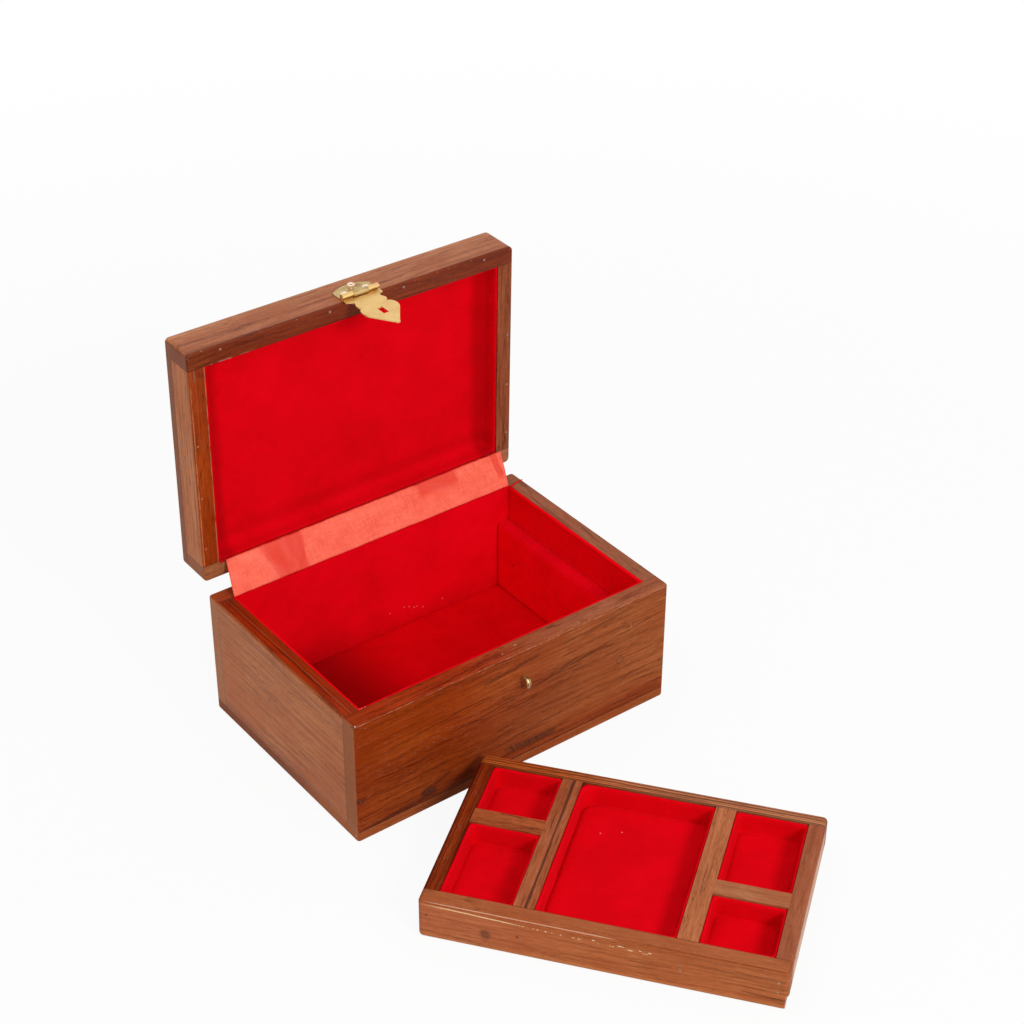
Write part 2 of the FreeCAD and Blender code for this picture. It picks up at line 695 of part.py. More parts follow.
def lid_nodes():
    boards = lid_boards()
    nodes = {"lid_top_panel": boards.pop("panel")}
    nodes.update({"lid_%s_rail" % side: shape for side, shape in boards.items()})
    nodes.update({"lid_lining_%s" % side: shape for side, shape in lid_linings().items()})
    nodes["lid_brads"] = group([brad(p, 0) for places in brad_places().values() for p in places])
    for side, x in (("left", -HINGE_X), ("right", HINGE_X)):
        nodes["hinge_%s_lid_leaf" % side] = over_pins(butt_leaf(False, -x))
    nodes["hinge_lid_screws"] = group([over_pins(screw_sink(x, y, 0)) for x, y in leaf_screw_places()])
    nodes["hasp_plate"] = hasp_plate()
    nodes["hasp_pin"] = hasp_pin()
    nodes["hasp_rivets"] = group([rivet(p) for p in rivet_places()])
    nodes["hasp_strap"] = hasp_strap()
    return {name: opened(shape) for name, shape in nodes.items()}


def tray_nodes():
    nail_holes = [tray_nail(p, f, FASTENER_FIT) for f in (1, -1) for p in nail_places()]
    nodes = {}
    for side, rail in tray_rails().items():
        nodes["tray_%s_rail" % side] = rail.cut(nail_holes)
    for name, divider in tray_dividers().items():
        nodes["tray_%s_divider" % name] = divider.cut(nail_holes)
    nodes["tray_bottom"] = centred_block(TRAY_IN_W, TRAY_IN_D, TRAY_BOTTOM_UP, TRAY_FLOOR)
    nodes.update({"tray_liner_%s" % name: shape for name, shape in tray_liners().items()})
    nodes["tray_nails"] = group([tray_nail(p, f, 0) for f in (1, -1) for p in nail_places()])
    return {name: set_down(shape) for name, shape in nodes.items()}


def main():
    os.makedirs("parts", exist_ok=True)
    nodes = {}
    nodes.update(base_nodes())
    nodes.update(lid_nodes())
    nodes.update(tray_nodes())
    for name, shape in nodes.items():
        shape.exportStep("parts/%s.step" % name)


main()
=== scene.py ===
import math

import bpy
import bmesh
from mathutils import Matrix, Vector, noise


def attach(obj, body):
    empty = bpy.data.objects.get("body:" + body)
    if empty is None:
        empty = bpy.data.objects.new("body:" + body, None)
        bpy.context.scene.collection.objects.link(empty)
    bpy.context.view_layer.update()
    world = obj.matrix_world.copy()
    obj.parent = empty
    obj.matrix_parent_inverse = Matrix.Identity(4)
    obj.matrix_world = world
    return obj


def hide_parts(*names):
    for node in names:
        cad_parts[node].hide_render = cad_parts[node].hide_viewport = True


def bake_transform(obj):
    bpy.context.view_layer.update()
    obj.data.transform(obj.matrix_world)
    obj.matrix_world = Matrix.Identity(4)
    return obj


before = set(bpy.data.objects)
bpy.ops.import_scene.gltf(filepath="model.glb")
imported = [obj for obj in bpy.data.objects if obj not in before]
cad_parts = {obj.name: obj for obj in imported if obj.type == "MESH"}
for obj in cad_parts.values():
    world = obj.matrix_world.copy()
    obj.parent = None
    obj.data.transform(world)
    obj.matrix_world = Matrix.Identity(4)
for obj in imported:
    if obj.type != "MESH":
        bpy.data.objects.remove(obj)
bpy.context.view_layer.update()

# Sizes in millimetres, as the solids have them. Each body's pieces are made where they are drawn:
# the lid shut on the base, the tray about its own middle. A pose then puts them where they rest.
MM = 0.001
BOX_W, BOX_D, BASE_H = 254, 174, 95
WALL, BOTTOM_T = 12, 8.5
LID_BOTTOM, LID_TOP, PANEL_BOTTOM = 95.3, 124.8, 115.8
LINING_T, LINING_DROP, LID_RECESS, FLOOR_TOP = 1.3, 0.6, 13, 12.5
LEDGE_T, LEDGE_TOP = 10.2, 67
HINGE_Y, HINGE_Z, LID_OPEN_DEG, LATCH_X = 92.6, 97.2, 89, 4
TRAY_W, TRAY_D, TRAY_H, TRAY_RAIL = 225.6, 141.6, 30.5, 10.4
TRAY_FLOOR, DIVIDER_T, DIVIDER_X, CROSS_Y = 13.2, 12.8, 49.9, 11.2
WALL_DROP, LINER_DROP, LINER_PAD_T = 0.25, 0.8, 3
TRAY_X, TRAY_Y, TRAY_TURN_DEG = -19.5, -224.244, -52.75

WELL_X, WELL_Y = BOX_W / 2 - WALL, BOX_D / 2 - WALL
SATIN_FOOT, SATIN_RISE = BASE_H + 0.5, 19.3


class Pose:
    """Where a body's pieces are drawn, against where they rest."""

    def __init__(self, turn_axis="X", degrees=0, pivot=(0, 0, 0), shift=(0, 0, 0)):
        self.turn_axis, self.degrees = turn_axis, degrees
        pivot = Vector(pivot)
        turn = Matrix.Rotation(math.radians(degrees), 4, turn_axis)
        around = Matrix.Translation(pivot) @ turn @ Matrix.Translation(-pivot)
        self.rest = Matrix.Translation(shift) @ around

    def place(self, point):
        return (self.rest @ Vector(point)) * MM

    def back(self):
        """Turn and shift that take a resting place back to where it was drawn."""
        undo = self.rest.inverted()
        turn = [0, 0, 0]
        turn["XYZ".index(self.turn_axis)] = -math.radians(self.degrees)
        return tuple(turn), undo.to_translation()


BASE = Pose()
LID = Pose("X", -LID_OPEN_DEG, pivot=(0, HINGE_Y, HINGE_Z))
TRAY = Pose("Z", TRAY_TURN_DEG, shift=(TRAY_X, TRAY_Y, 0))


# ---- shader arithmetic
def by_math(operation):
    """A method that gives its wire, and what follows it, to one Math node."""
    return lambda self, *others: self.math(operation, self, *others)


class Wire:
    """One socket in a node tree; arithmetic on it adds Math nodes."""

    def __init__(self, nodes, socket):
        self.nodes, self.socket = nodes, socket

    def math(self, operation, *values):
        return self.nodes.node("ShaderNodeMath", {"operation": operation}, dict(enumerate(values)))

    def beside(self, name):
        """Another output of the same node."""
        return Wire(self.nodes, self.socket.node.outputs[name])

    __add__ = __radd__ = by_math("ADD")
    __mul__ = __rmul__ = by_math("MULTIPLY")
    __sub__, __truediv__ = by_math("SUBTRACT"), by_math("DIVIDE")
    __abs__, root = by_math("ABSOLUTE"), by_math("SQRT")
    least, most = by_math("MINIMUM"), by_math("MAXIMUM")
    part, wave = by_math("FRACT"), by_math("SINE")

    def __rsub__(self, other):
        return self.math("SUBTRACT", other, self)

    def rise(self, low, high):
        """0 below low, 1 above high, smooth between; falls instead where low is above high."""
        settings = {"interpolation_type": "SMOOTHSTEP"}
        first, last = (0, 1) if low < high else (1, 0)
        ends = {1: min(low, high), 2: max(low, high), 3: first, 4: last}
        return self.nodes.node("ShaderNodeMapRange", settings, {0: self, **ends})


class Nodes:
    """A node tree, emptied; all of its nodes are made by node()."""

    def __init__(self, tree):
        self.tree = tree
        tree.nodes.clear()

    def node(self, kind, settings=None, values=None, out=0):
        made = self.tree.nodes.new(kind)
        for key, value in (settings or {}).items():
            if key == "stops":
                self.set_stops(made.color_ramp, value)
            else:
                setattr(made, key, value)
        for key, value in (values or {}).items():
            self.put(made.inputs[key], value)
        return Wire(self, made.outputs[out]) if made.outputs else made

    def put(self, socket, value):
        if isinstance(value, list):
            for wire in value:
                self.put(socket, wire)
        elif isinstance(value, Wire):
            self.tree.links.new(value.socket, socket)
        elif isinstance(value, tuple) and socket.type == "RGBA":
            socket.default_value = (*value[:3], 1)
        else:
            socket.default_value = value

    def set_stops(self, ramp, stops):
        while len(ramp.elements) < len(stops):
            ramp.elements.new(1)
        for element, (place, colour) in zip(ramp.elements, stops):
            element.position = place
            element.color = (*colour, 1)

    def seen(self):
        """1 for what the camera sees, directly, mirrored or through glass."""
        direct = self.node("ShaderNodeLightPath", out="Is Camera Ray")
        mirrored = direct.beside("Is Glossy Ray")
        return direct.most(mirrored).most(direct.beside("Is Transmission Ray"))


class Finish(Nodes):
    """A material and its node tree."""

    def __init__(self, name):
        self.material = bpy.data.materials.new(name)
        self.material.use_nodes = True
        super().__init__(self.material.node_tree)

    def drawn(self, pose):
        """The surface's place in its body's drawing, in millimetres, as x, y and z."""
        turn, shift = pose.back()
        here = self.node("ShaderNodeTexCoord", out=3)
        settings = {"vector_type": "POINT"}
        values = {"Vector": here, "Location": shift, "Rotation": turn, "Scale": (1 / MM,) * 3}
        place = self.node("ShaderNodeMapping", settings, values)
        x = self.node("ShaderNodeSeparateXYZ", None, {0: place})
        return x, x.beside("Y"), x.beside("Z")

    def cloud(self, x, y, z, detail=2, rough=0.5):
        """Soft noise from 0 to 1, one blot to about a unit of x, y and z."""
        place = self.node("ShaderNodeCombineXYZ", None, {0: x, 1: y, 2: z})
        values = {"Vector": place, "Scale": 1, "Detail": detail, "Roughness": rough}
        return self.node("ShaderNodeTexNoise", {"noise_dimensions": "3D"}, values)

    def mix(self, factor, first, second, blend="MIX"):
        settings = {"data_type": "RGBA", "blend_type": blend}
        return self.node("ShaderNodeMix", settings, {0: factor, 6: first, 7: second}, 2)

    def ramp(self, factor, stops):
        return self.node("ShaderNodeValToRGB", {"stops": stops}, {0: factor})

    def bump(self, height, strength=1):
        """Surface normal from a height in millimetres."""
        values = {"Height": height, "Distance": MM, "Strength": strength}
        return self.node("ShaderNodeBump", None, values)

    def surface(self, **sockets):
        named = {}
        for key, value in sockets.items():
            named[key.replace("_", " ").title().replace("Ior", "IOR")] = value
        shader = self.node("ShaderNodeBsdfPrincipled", None, named)
        self.node("ShaderNodeOutputMaterial", None, {0: shader})
        return self.material


# ---- teak
END_GRAIN = (0.3, 0.09, 0.03)
WORN_PALE = (0.6, 0.36, 0.22)
SHADOW_BROWN = (0.055, 0.014, 0.005)
SEAM_BLACK = (0.03, 0.009, 0.004)
# Pale flecks along the grain: partly dust, partly painted glints on the finish.
DUST_AND_GLINT_GREY = (0.14, 0.12, 0.085)

# The axes along the grain, across it on the board's face, and into the board.
GRAIN = {"x": (0, 2, 1), "flat": (0, 1, 2), "y": (1, 2, 0)}

# Where a mask starts and ends on the base's front, its left end and its rim.
FRONT_FACE = (1 - BOX_D / 2, 0.6 - BOX_D / 2)
LEFT_END = (0.8 - BOX_W / 2, 0.2 - BOX_W / 2)
RIM = (BASE_H - 1, BASE_H - 0.4)


def spot(a, b, centre, reach, soft=0.5):
    """1 inside an oval on the surface, fading out at its rim."""
    across = (a - centre[0]) / reach[0]
    up = (b - centre[1]) / reach[1]
    return (across * across + up * up).root().rise(1 + soft, 1 - soft)


def ovals(a, b, *rows):
    """1 inside any of several ovals, given as (place, place, reach, reach, softness, strength)."""
    masks = [spot(a, b, row[:2], row[2:4], row[4]) * row[5] for row in rows]
    strongest = masks[0]
    for mask in masks[1:]:
        strongest = strongest.most(mask)
    return strongest


def near(place, level, reach, sharp):
    """1 within sharp of a level, fading out to 0 at reach from it."""
    return abs(place - level).rise(reach, sharp)


def streak(a, b, start, end, half, soft=0.3):
    """1 along a straight line drawn between two places on the surface."""
    run, climb = end[0] - start[0], end[1] - start[1]
    length = math.hypot(run, climb)
    ux, uy = run / length, climb / length
    along = (a - start[0]) * ux + (b - start[1]) * uy
    off = abs((a - start[0]) * -uy + (b - start[1]) * ux)
    inside = along.rise(0, length * 0.12) * along.rise(length, length * 0.88)
    return off.rise(half + soft, half - soft) * inside


def box_edge(x, y, z, half_w, half_d, low, high):
    """Distance in millimetres from the nearest outer edge of a box."""
    dx = half_w - abs(x)
    dy = half_d - abs(y)
    dz = (high - low) / 2 - abs(z - (high + low) / 2)
    return dx.least(dy).most(dx.most(dy).least(dz))


def base_joints(x, y, z):
    corner = near(abs(y), WELL_Y, 0.45, 0.1) * z.rise(BOTTOM_T, BOTTOM_T + 0.2)
    below = near(z, BOTTOM_T, 0.5, 0.1) * x.rise(-BOX_W / 2 + 0.4, -BOX_W / 2 + 1.6)
    return (corner * 0.5).most(below)


def lid_joints(x, y, z):
    corner = near(abs(y), WELL_Y, 0.4, 0.1) * z.rise(PANEL_BOTTOM + 0.1, PANEL_BOTTOM)
    return (corner * 0.7).most(near(z, PANEL_BOTTOM, 0.4, 0.1) * 0.35)


def tray_joints(x, y, z):
    return near(abs(y), TRAY_D / 2 - TRAY_RAIL, 0.35, 0.1) * 0.7


BODY_FACTS = {
    "base": (BASE, (BOX_W / 2, BOX_D / 2, 0, BASE_H), base_joints),
    "lid": (LID, (BOX_W / 2, BOX_D / 2, LID_BOTTOM, LID_TOP), lid_joints),
    "tray": (TRAY, (TRAY_W / 2, TRAY_D / 2, 0, TRAY_H), tray_joints),
}


def teak(name, body, grain, heart, pitch, tone, seed, gloss, sway, depth, marks=None):
    """Oiled teak: faint rings about the log's heart, dark veins and pores along the grain.

    sway is how far the grain wanders, depth how strongly it shows. marks gives the board's tinges,
    as (mask, tinge), and its marks, as (mask, colour, lift); some of both are painted light and
    shade."""
    finish = Finish(name)
    pose, box, joints = BODY_FACTS[body]
    xyz = finish.drawn(pose)
    along, across, deep = (xyz[i] for i in GRAIN[grain])

    def stretched(length, width, detail=2, rough=0.5, shift=0):
        start = along / length + seed + shift
        return finish.cloud(start, across / width, deep / width, detail, rough)

    across = across + (finish.cloud(along / 24 + seed, across / 13, deep / 13, 1) - 0.5) * sway
    drift = stretched(150, 40)
    up, out = across - heart[0], deep - heart[1]
    radius = (up * up + out * out).root() + (drift - 0.5) * 26 + (stretched(40, 9, 3) - 0.5) * 2
    band = finish.cloud(radius / 6, seed, along / 160, 3)
    ring = (radius / pitch + band * 2.5).part()
    late = ring.rise(0.6, 0.94) * ring.rise(1, 0.96) * band.rise(0.36, 0.6)
    figure = stretched(70, 2.6, 5, 0.6)
    strand = stretched(16, 0.9, 4, 0.65, 3)
    fibre = stretched(7, 0.55, 2, 0.6, 6)
    vein = stretched(80, 1.6, 4, 0.6, 4).rise(0.58, 0.68)
    vein = vein * stretched(60, 14, 1, 0.5, 7).rise(0.42, 0.6)
    dash = stretched(5, 0.45, 1, 0.5, 2)
    patch = stretched(26, 8, 2, 0.5, 9)
    pores = dash.rise(0.6, 0.7) * patch.rise(0.36, 0.6)
    dust_and_glint = stretched(3.6, 0.42, 1, 0.5, 5).rise(0.6, 0.7) * patch.rise(0.56, 0.4)
    shade = (figure - 0.5) * 1.3 + (strand - 0.5) * 0.95 + (fibre - 0.5) * 0.8
    shade = 0.6 + (shade - late * 0.26 - vein * 0.42 - pores * 0.34) * depth
    dark = (tone[0] * 0.42, tone[1] * 0.32, tone[2] * 0.36)
    pale = (tone[0] * 1.36, tone[1] * 1.5, tone[2] * 1.8)
    colour = finish.ramp(shade, [(0.05, dark), (0.5, tone), (0.98, pale)])
    cloudy = finish.cloud(xyz[0] / 48 + seed, xyz[1] / 48, xyz[2] / 48, 3)
    redder = (tone[0] * 0.92, tone[1] * 0.72, tone[2] * 0.62)
    colour = finish.mix(cloudy.rise(0.4, 0.66) * 0.5, colour, redder)
    half = box[GRAIN[grain][0]]
    cut = abs(along).rise(half - 1.2, half - 0.3)
    rays = finish.cloud(across / 0.8, deep / 0.8, along / 3 + seed, 3, 0.7)
    colour = finish.mix(cut * (0.45 + rays * 0.5), colour, END_GRAIN)
    details = marks(finish.cloud, *xyz) if marks else []
    for mask, tinge in [detail for detail in details if len(detail) == 2]:
        colour = finish.mix(mask, colour, tinge, "MULTIPLY")
    # Pale flecks along the grain: partly dust, partly painted glints on the finish.
    colour = finish.mix(dust_and_glint * 0.36, colour, DUST_AND_GLINT_GREY, "ADD")
    edge = box_edge(*xyz, *box)
    chip = finish.cloud(xyz[0] / 2.2 + seed, xyz[1] / 2.2, xyz[2] / 2.2, 3, 0.6)
    rubbed = edge.rise(1.9, 0.3) * chip.rise(0.4, 0.6)
    nick = edge.rise(1.3, 0.4) * chip.rise(0.665, 0.7)
    seam = joints(*xyz)
    colour = finish.mix(rubbed * 0.3, colour, dark)
    colour = finish.mix(nick * 0.4, colour, WORN_PALE)
    colour = finish.mix(seam * 0.8, colour, SEAM_BLACK)
    height = (fibre + strand) * 0.02 - pores * 0.06 - late * 0.012
    height = height - vein * 0.02 - seam * 0.25 - nick * 0.12
    for mask, tint, lift in [detail for detail in details if len(detail) == 3]:
        colour = finish.mix(mask, colour, tint)
        height = height + mask * lift
    rough = 0.38 + (cloudy - 0.5) * 0.2 + pores * 0.25 + rubbed * 0.1 + cut * 0.12
    return finish.surface(
        base_color=colour, roughness=rough, normal=finish.bump(height), specular_ior_level=gloss
    )


def dark_knot(cloud, face, a, b, centre, reach, wobble):
    """A small tight knot: dark ragged rim, paler flecks in the middle."""
    near = spot(a + wobble, b + wobble, centre, (reach * 1.5, reach), 0.6) * face
    across, up = (a - centre[0]) / 1.5, b - centre[1]
    ring = ((across * across + up * up).root() * 2.4 + wobble * 3).wave() * 0.5 + 0.5
    fleck = cloud(a / 0.7, b / 0.7, 3, 2).rise(0.52, 0.62)
    core = spot(a, b, centre, (reach * 0.8, reach * 0.6), 0.5) * face
    return [
        (near * 0.8, (0.075, 0.016, 0.007), 0),
        (near * ring * 0.5, (0.03, 0.008, 0.004), -0.1),
        (core * fleck * 0.65, (0.32, 0.11, 0.07), 0),
    ]


def front_marks(cloud, x, y, z):
    face, rim = y.rise(*FRONT_FACE), z.rise(*RIM)
    wobble = (cloud(x / 3, y / 3, z / 3, 2) - 0.5) * 2.2
    sway = (cloud(x / 18, 1.5, 1.5, 2) - 0.5) * 3
    fray = cloud(x / 5, y / 1.2, z / 1.2, 3, 0.7)
    level, low = z + sway, z + sway * 0.9
    paler = [(-36, 74, 34, 10, 0.7, 1), (-84, 62, 26, 8, 0.8, 1), (-92, 22, 26, 7, 0.8, 0.8)]
    darker = [(-60, 46, 40, 6, 0.7, 1), (20, 44, 30, 9, 0.8, 1)]
    darker.append((62, 60, 46, 7, 0.8, fray.rise(0.35, 0.6)))
    marks = [
        # Painted sheen: the face paler and greyer towards the right and upwards.
        (x.rise(-60, 70) * z.rise(4, 30), (1.23, 2.16, 5.2)),
        (rim * x.rise(10, -20), (1.22, 0.85, 1.3)),
        (rim * x.rise(-20, 20), (1.07, 1.22, 2)),
        (x.rise(*LEFT_END), (1.22, 1.6, 2.35)),
        (z.rise(14, 6) * x.rise(-20, -60) * 0.8, (1.2, 1.45, 2)),
        (rim * x.rise(-108, -122), (0.96, 1.2, 1.3)),
        (ovals(x, level, *paler) * 0.7 * face, (1.22, 1.42, 1.4)),
        (ovals(x, level, *darker) * 0.7 * face, (0.74, 0.66, 0.66)),
    ]
    for centre, reach in (((-71.7, 15.3), 3.4), ((-124, 33.6), 2.2)):
        marks += dark_knot(cloud, face, x, z, centre, reach, wobble)
    heartwood = streak(x, z + sway * 0.4, (-12, 18), (34, 16.2), 2.6, 2)
    stripe = cloud((x + z * 0.5) / 0.9, y / 20, z / 20, 2).rise(0.4, 0.6)
    marks.append((heartwood * face * (0.4 + stripe * 0.4), (0.055, 0.016, 0.008), 0))
    for start, end, half, depth, spread in (
        ((-46, 53.5), (127, 75.5), 0.35, 0.75, 0.6),
        ((-30, 80), (20, 86), 1.3, 0.6, 1),
        ((-118, 62), (-34, 70), 0.6, 0.5, 1.4),
        ((30, 84), (96, 88.5), 0.8, 0.5, 1.2),
        ((8, 59), (70, 68), 0.5, 0.5, 1.6),
        ((20, 11.4), (127, 14), 0.35, 0.7, 0.5),
        ((74, 9.4), (127, 10.4), 0.3, 0.6, 0.3),
        ((-127, 9.2), (-84, 9.4), 0.3, 0.9, 0.1),
        ((-98, 12), (-62, 12.6), 1.5, 0.5, 0.8),
        ((-68, 18), (-54, 24), 1.5, 0.5, 0.6),
    ):
        line = streak(x, z + sway * spread + (fray - 0.5) * 1.6, start, end, half, 0.5)
        marks.append((line * face * fray.rise(0.3, 0.48) * depth, (0.05, 0.012, 0.005), -0.04))
    # A band of pale dashes along the grain: partly dust, partly painted glints.
    dust_and_glint_band = streak(x, z + sway * 0.8, (-122, 49), (-20, 60), 6, 5)
    dash = cloud(x / 5, low / 0.5, 4, 2, 0.6).rise(0.62, 0.69)
    tick = cloud(x / 9, low / 0.6, 9, 4, 0.65).rise(0.55, 0.64)
    crowds = [(-86, 36, 42, 11, 0.6, 1), (-30, 68, 40, 8, 0.7, 1), (-20, 30, 40, 10, 0.7, 0.8)]
    # A pale line along the top arris: partly rubbed finish, partly painted highlight.
    brink = near(z + (fray - 0.5) * 0.5, 93.7, 0.36, 0.08) * y.rise(-85.4, -86)
    outer, inner = (spot(x, z, (86.7, 49.1), (r, r), soft) for r, soft in ((3.3, 0.15), (2.5, 0.2)))
    scratch = streak(x, z, (94.9, 77.2), (95.5, 71), 0.14, 0.2)
    grit = cloud(x / 0.8, y / 0.8, z / 0.8, 2).rise(0.55, 0.45)
    marks += [
        (dust_and_glint_band * dash * face * 0.5, (0.44, 0.22, 0.16), -0.02),
        (tick * face * (0.12 + ovals(x, z, *crowds) * 0.6), (0.07, 0.012, 0.003), -0.03),
        (brink * (0.08 + fray.rise(0.44, 0.64) * 0.5), (0.6, 0.33, 0.24), 0),
        ((outer - inner) * face * 0.5, (0.07, 0.025, 0.012), -0.04),
        (inner * face * 0.25, (0.2, 0.085, 0.045), 0),
        (scratch * face * 0.75, (0.5, 0.28, 0.18), -0.08),
        (speck((x, y, z), (-126, -86, 94), 2) * grit * 0.7, (0.1, 0.035, 0.014), -0.1),
        (speck((x, y, z), (-125.4, -86.6, 94.6), 0.6) * 0.75, (0.66, 0.52, 0.44), -0.1),
    ]
    for px, py, reach in ((3.2, -79.6, 1.3), (29.3, -87, 0.7), (-9, -82.4, 0.6)):
        chip = spot(x, y, (px, py), (reach, 0.35), 0.4)
        marks.append((chip * rim * 0.8, (0.62, 0.38, 0.29), 0))
    for px, py, reach in ((-18, -77.5, 3.5), (-6, -76.9, 2), (34, -77.4, 4), (-70, -77, 2.4)):
        marks.append((spot(x, y, (px, py), (reach, 0.6), 0.5) * rim * 0.6, SHADOW_BROWN, 0))
    return marks


def left_marks(cloud, x, y, z):
    face, rim = x.rise(-126.2, -126.7), z.rise(*RIM)
    flat = rim * x.rise(-126, -125)
    sway = (cloud(y / 30, 2.5, 2.5, 2) - 0.5) * 1.6
    swing, level = x + sway, z + sway
    tick = cloud(y / 7, level / 0.5, 9, 3, 0.65).rise(0.6, 0.7)
    streaky = cloud(y / 22, level / 1.1, 4, 3, 0.6).rise(0.54, 0.66)
    faded = y.rise(-10, -60) * z.rise(60, 40) * 0.35
    marks = [
        (rim * x.rise(-126.4, -125.4), (0.6, 0.19, 0.046)),
        (z.rise(93.6, 94.4) * x.rise(-125.4, -126.2), (0.74, 0.56, 0.5)),
        (flat * y.rise(0, 80), (0.76, 0.72, 0.8)),
        (flat * y.rise(-60, -84), (0.95, 1.15, 1.5)),
        (rim * near(swing, -123.6, 1.6, 0.6), (1.16, 1, 0.7)),
        (rim * near(swing, -121.4, 0.8, 0.2), (0.74, 0.62, 0.6)),
        (rim * near(swing, -118.6, 1.2, 0.4), (0.9, 0.8, 0.8)),
        # Painted shade: the face darker low down near the floor, towards the back.
        (z.rise(17, 7) * face * y.rise(-80, -10), (0.64, 0.58, 0.68)),
        (z.rise(60, 20) * face * y.rise(20, -60), (0.96, 0.94, 0.88)),
        (near(swing, -120.2, 0.35, 0.1) * rim * 0.35, (0.4, 0.15, 0.06), 0),
    ]
    for line, depth in ((89, 0.45), (86.5, 0.6), (83, 0.4), (80.2, 0.5), (76.5, 0.3), (70, 0.2)):
        marks.append((near(level, line, 0.5, 0.12) * face * depth, (0.11, 0.036, 0.014), -0.02))
    return marks + [
        (tick * face * z.rise(60, 78) * 0.6, (0.13, 0.045, 0.018), -0.02),
        (streaky * face * faded, (0.2, 0.065, 0.022), 0),
        (spot(y, z, (13.7, 52.5), (0.7, 1.6), 0.4) * face * 0.7, (0.06, 0.02, 0.01), -0.1),
    ]


def back_marks(cloud, x, y, z):
    rim = z.rise(*RIM) * x.rise(-98, -116)
    return [(x.rise(*LEFT_END), (1.35, 1.6, 2)), (rim, (1, 0.46, 0.32))]


def bottom_marks(cloud, x, y, z):
    """Its left end is as pale as the side above it near the front, darker towards the back."""
    end = x.rise(*LEFT_END)
    return [
        (end * y.rise(10, -60), (1.32, 1.52, 1.75)),
        (end * y.rise(-60, 10), (0.84, 0.86, 1.05)),
        (y.rise(*FRONT_FACE) * x.rise(-70, -90), (1.18, 1.38, 1.7)),
        (end * y.rise(-86, -86.6) * 0.8, (0.03, 0.012, 0.006), -0.1),
        (speck((x, y, z), (-127, -84.6, 5), 0.7) * 0.6, (0.58, 0.42, 0.28), -0.05),
    ]


def tray_front_marks(cloud, x, y, z):
    face = y.rise(-TRAY_D / 2 + 2.4, -TRAY_D / 2 + 1.6)
    gap = cloud(x / 5, 2, 3, 3, 0.7)
    fray = cloud(x / 1.2, y / 1.2, z / 1.2, 2)
    wobble = (cloud(x / 14, 0.5, 0.5, 2) - 0.5) * 2.2
    below = z.rise(28.6, 27.4) * face
    # A pale line along the rounded top arris, broken in places: painted highlight.
    edge = streak(x, z + (fray - 0.5) * 0.3, (-112, 29.3), (14, 29.3), 0.2, 0.2)
    edge = edge * x.rise(-40, -60).most(gap.rise(0.34, 0.46))
    chip = streak(x, z + wobble * 0.7 + (fray - 0.5) * 0.6, (-112, 27.6), (36, 23), 0.36, 0.22)
    chip = chip * face * x.rise(-45, -60).most(gap.rise(0.5, 0.6))
    marks = [
        (below, (1.14, 1.2, 1.2)),
        (below * x.rise(10, -100), (1.12, 1.18, 1.5)),
        (edge * 0.62, (0.8, 0.5, 0.36), -0.03),
        (chip * 0.95, (0.86, 0.62, 0.34), -0.06),
    ]
    for u, v, reach in ((-4, 25.8, 0.9), (12.5, 25.2, 2), (24, 24.6, 0.8), (30, 24.4, 1.2)):
        flake = spot(x, z + (fray - 0.5), (u, v), (reach, 0.34), 0.35)
        marks.append((flake * face * 0.9, (0.85, 0.66, 0.45), -0.08))
    smudge = spot(x, z, (-70.4, 12.5), (3.2, 4), 0.5) * (0.5 + fray * 0.6)
    marks.append((smudge * face * 0.75, (0.09, 0.034, 0.016), 0))
    for u, v in ((-107.3, 19), (-50.6, 15.9)):
        hole = spot(x, z, (u, v), (0.9, 0.9), 0.5)
        marks.append((hole * face * 0.65, (0.05, 0.018, 0.01), -0.1))
    brink = near(z, 29.7, 0.5, 0.15) * x.rise(-10, 60)
    marks += [
        (z.rise(5.5, 2.5) * face * 0.35, (0.62, 0.24, 0.08), 0),
        (brink * (0.35 + gap * 0.4), (0.15, 0.034, 0.012), -0.02),
        (z.rise(30, 30.3) * 0.12, (0.36, 0.12, 0.06), 0),
    ]
    waved = z + wobble * 0.8 + (gap - 0.5) * 1.6
    broken = face * x.rise(0, 80) * gap.rise(0.3, 0.5)
    lines = ((27.2, 0.8, 0.4), (22, 0.9, 0.42), (18.6, 0.6, 0.36), (13, 0.5, 0.25))
    for level, half, depth in lines:
        line = near(waved, level, half + 0.7, half - 0.5)
        marks.append((line * broken * depth, (0.19, 0.05, 0.016), 0))
    crack = streak(x, z + wobble * 0.2, (84, 9.4), (118, 7.6), 0.3, 0.25)
    return marks + [(crack * face * 0.85, (0.045, 0.014, 0.006), -0.1)]


def tray_right_marks(cloud, x, y, z):
    """Painted sheen and light: the outer face is paler and greyer than the oiled top."""
    outer = x.rise(TRAY_W / 2 - 1.5, TRAY_W / 2 - 0.6) * z.rise(29, 27)
    return [(outer, (1.62, 2.8, 3.7))]


def tray_back_marks(cloud, x, y, z):
    """Redder towards the left, with dark lines along the grain."""
    swing = y + (cloud(x / 30, 6.5, 2.5, 2) - 0.5) * 1.4
    marks = [(x.rise(30, -80), (0.98, 0.54, 0.2))]
    lines = ((61.4, 0.6, 0.75), (63.4, 0.35, 0.5), (65.2, 0.7, 0.7), (67.6, 0.5, 0.75))
    for level, half, depth in lines:
        line = near(swing, level, half + 0.2, half - 0.25)
        marks.append((line * depth, (0.06, 0.018, 0.007), -0.02))
    return marks


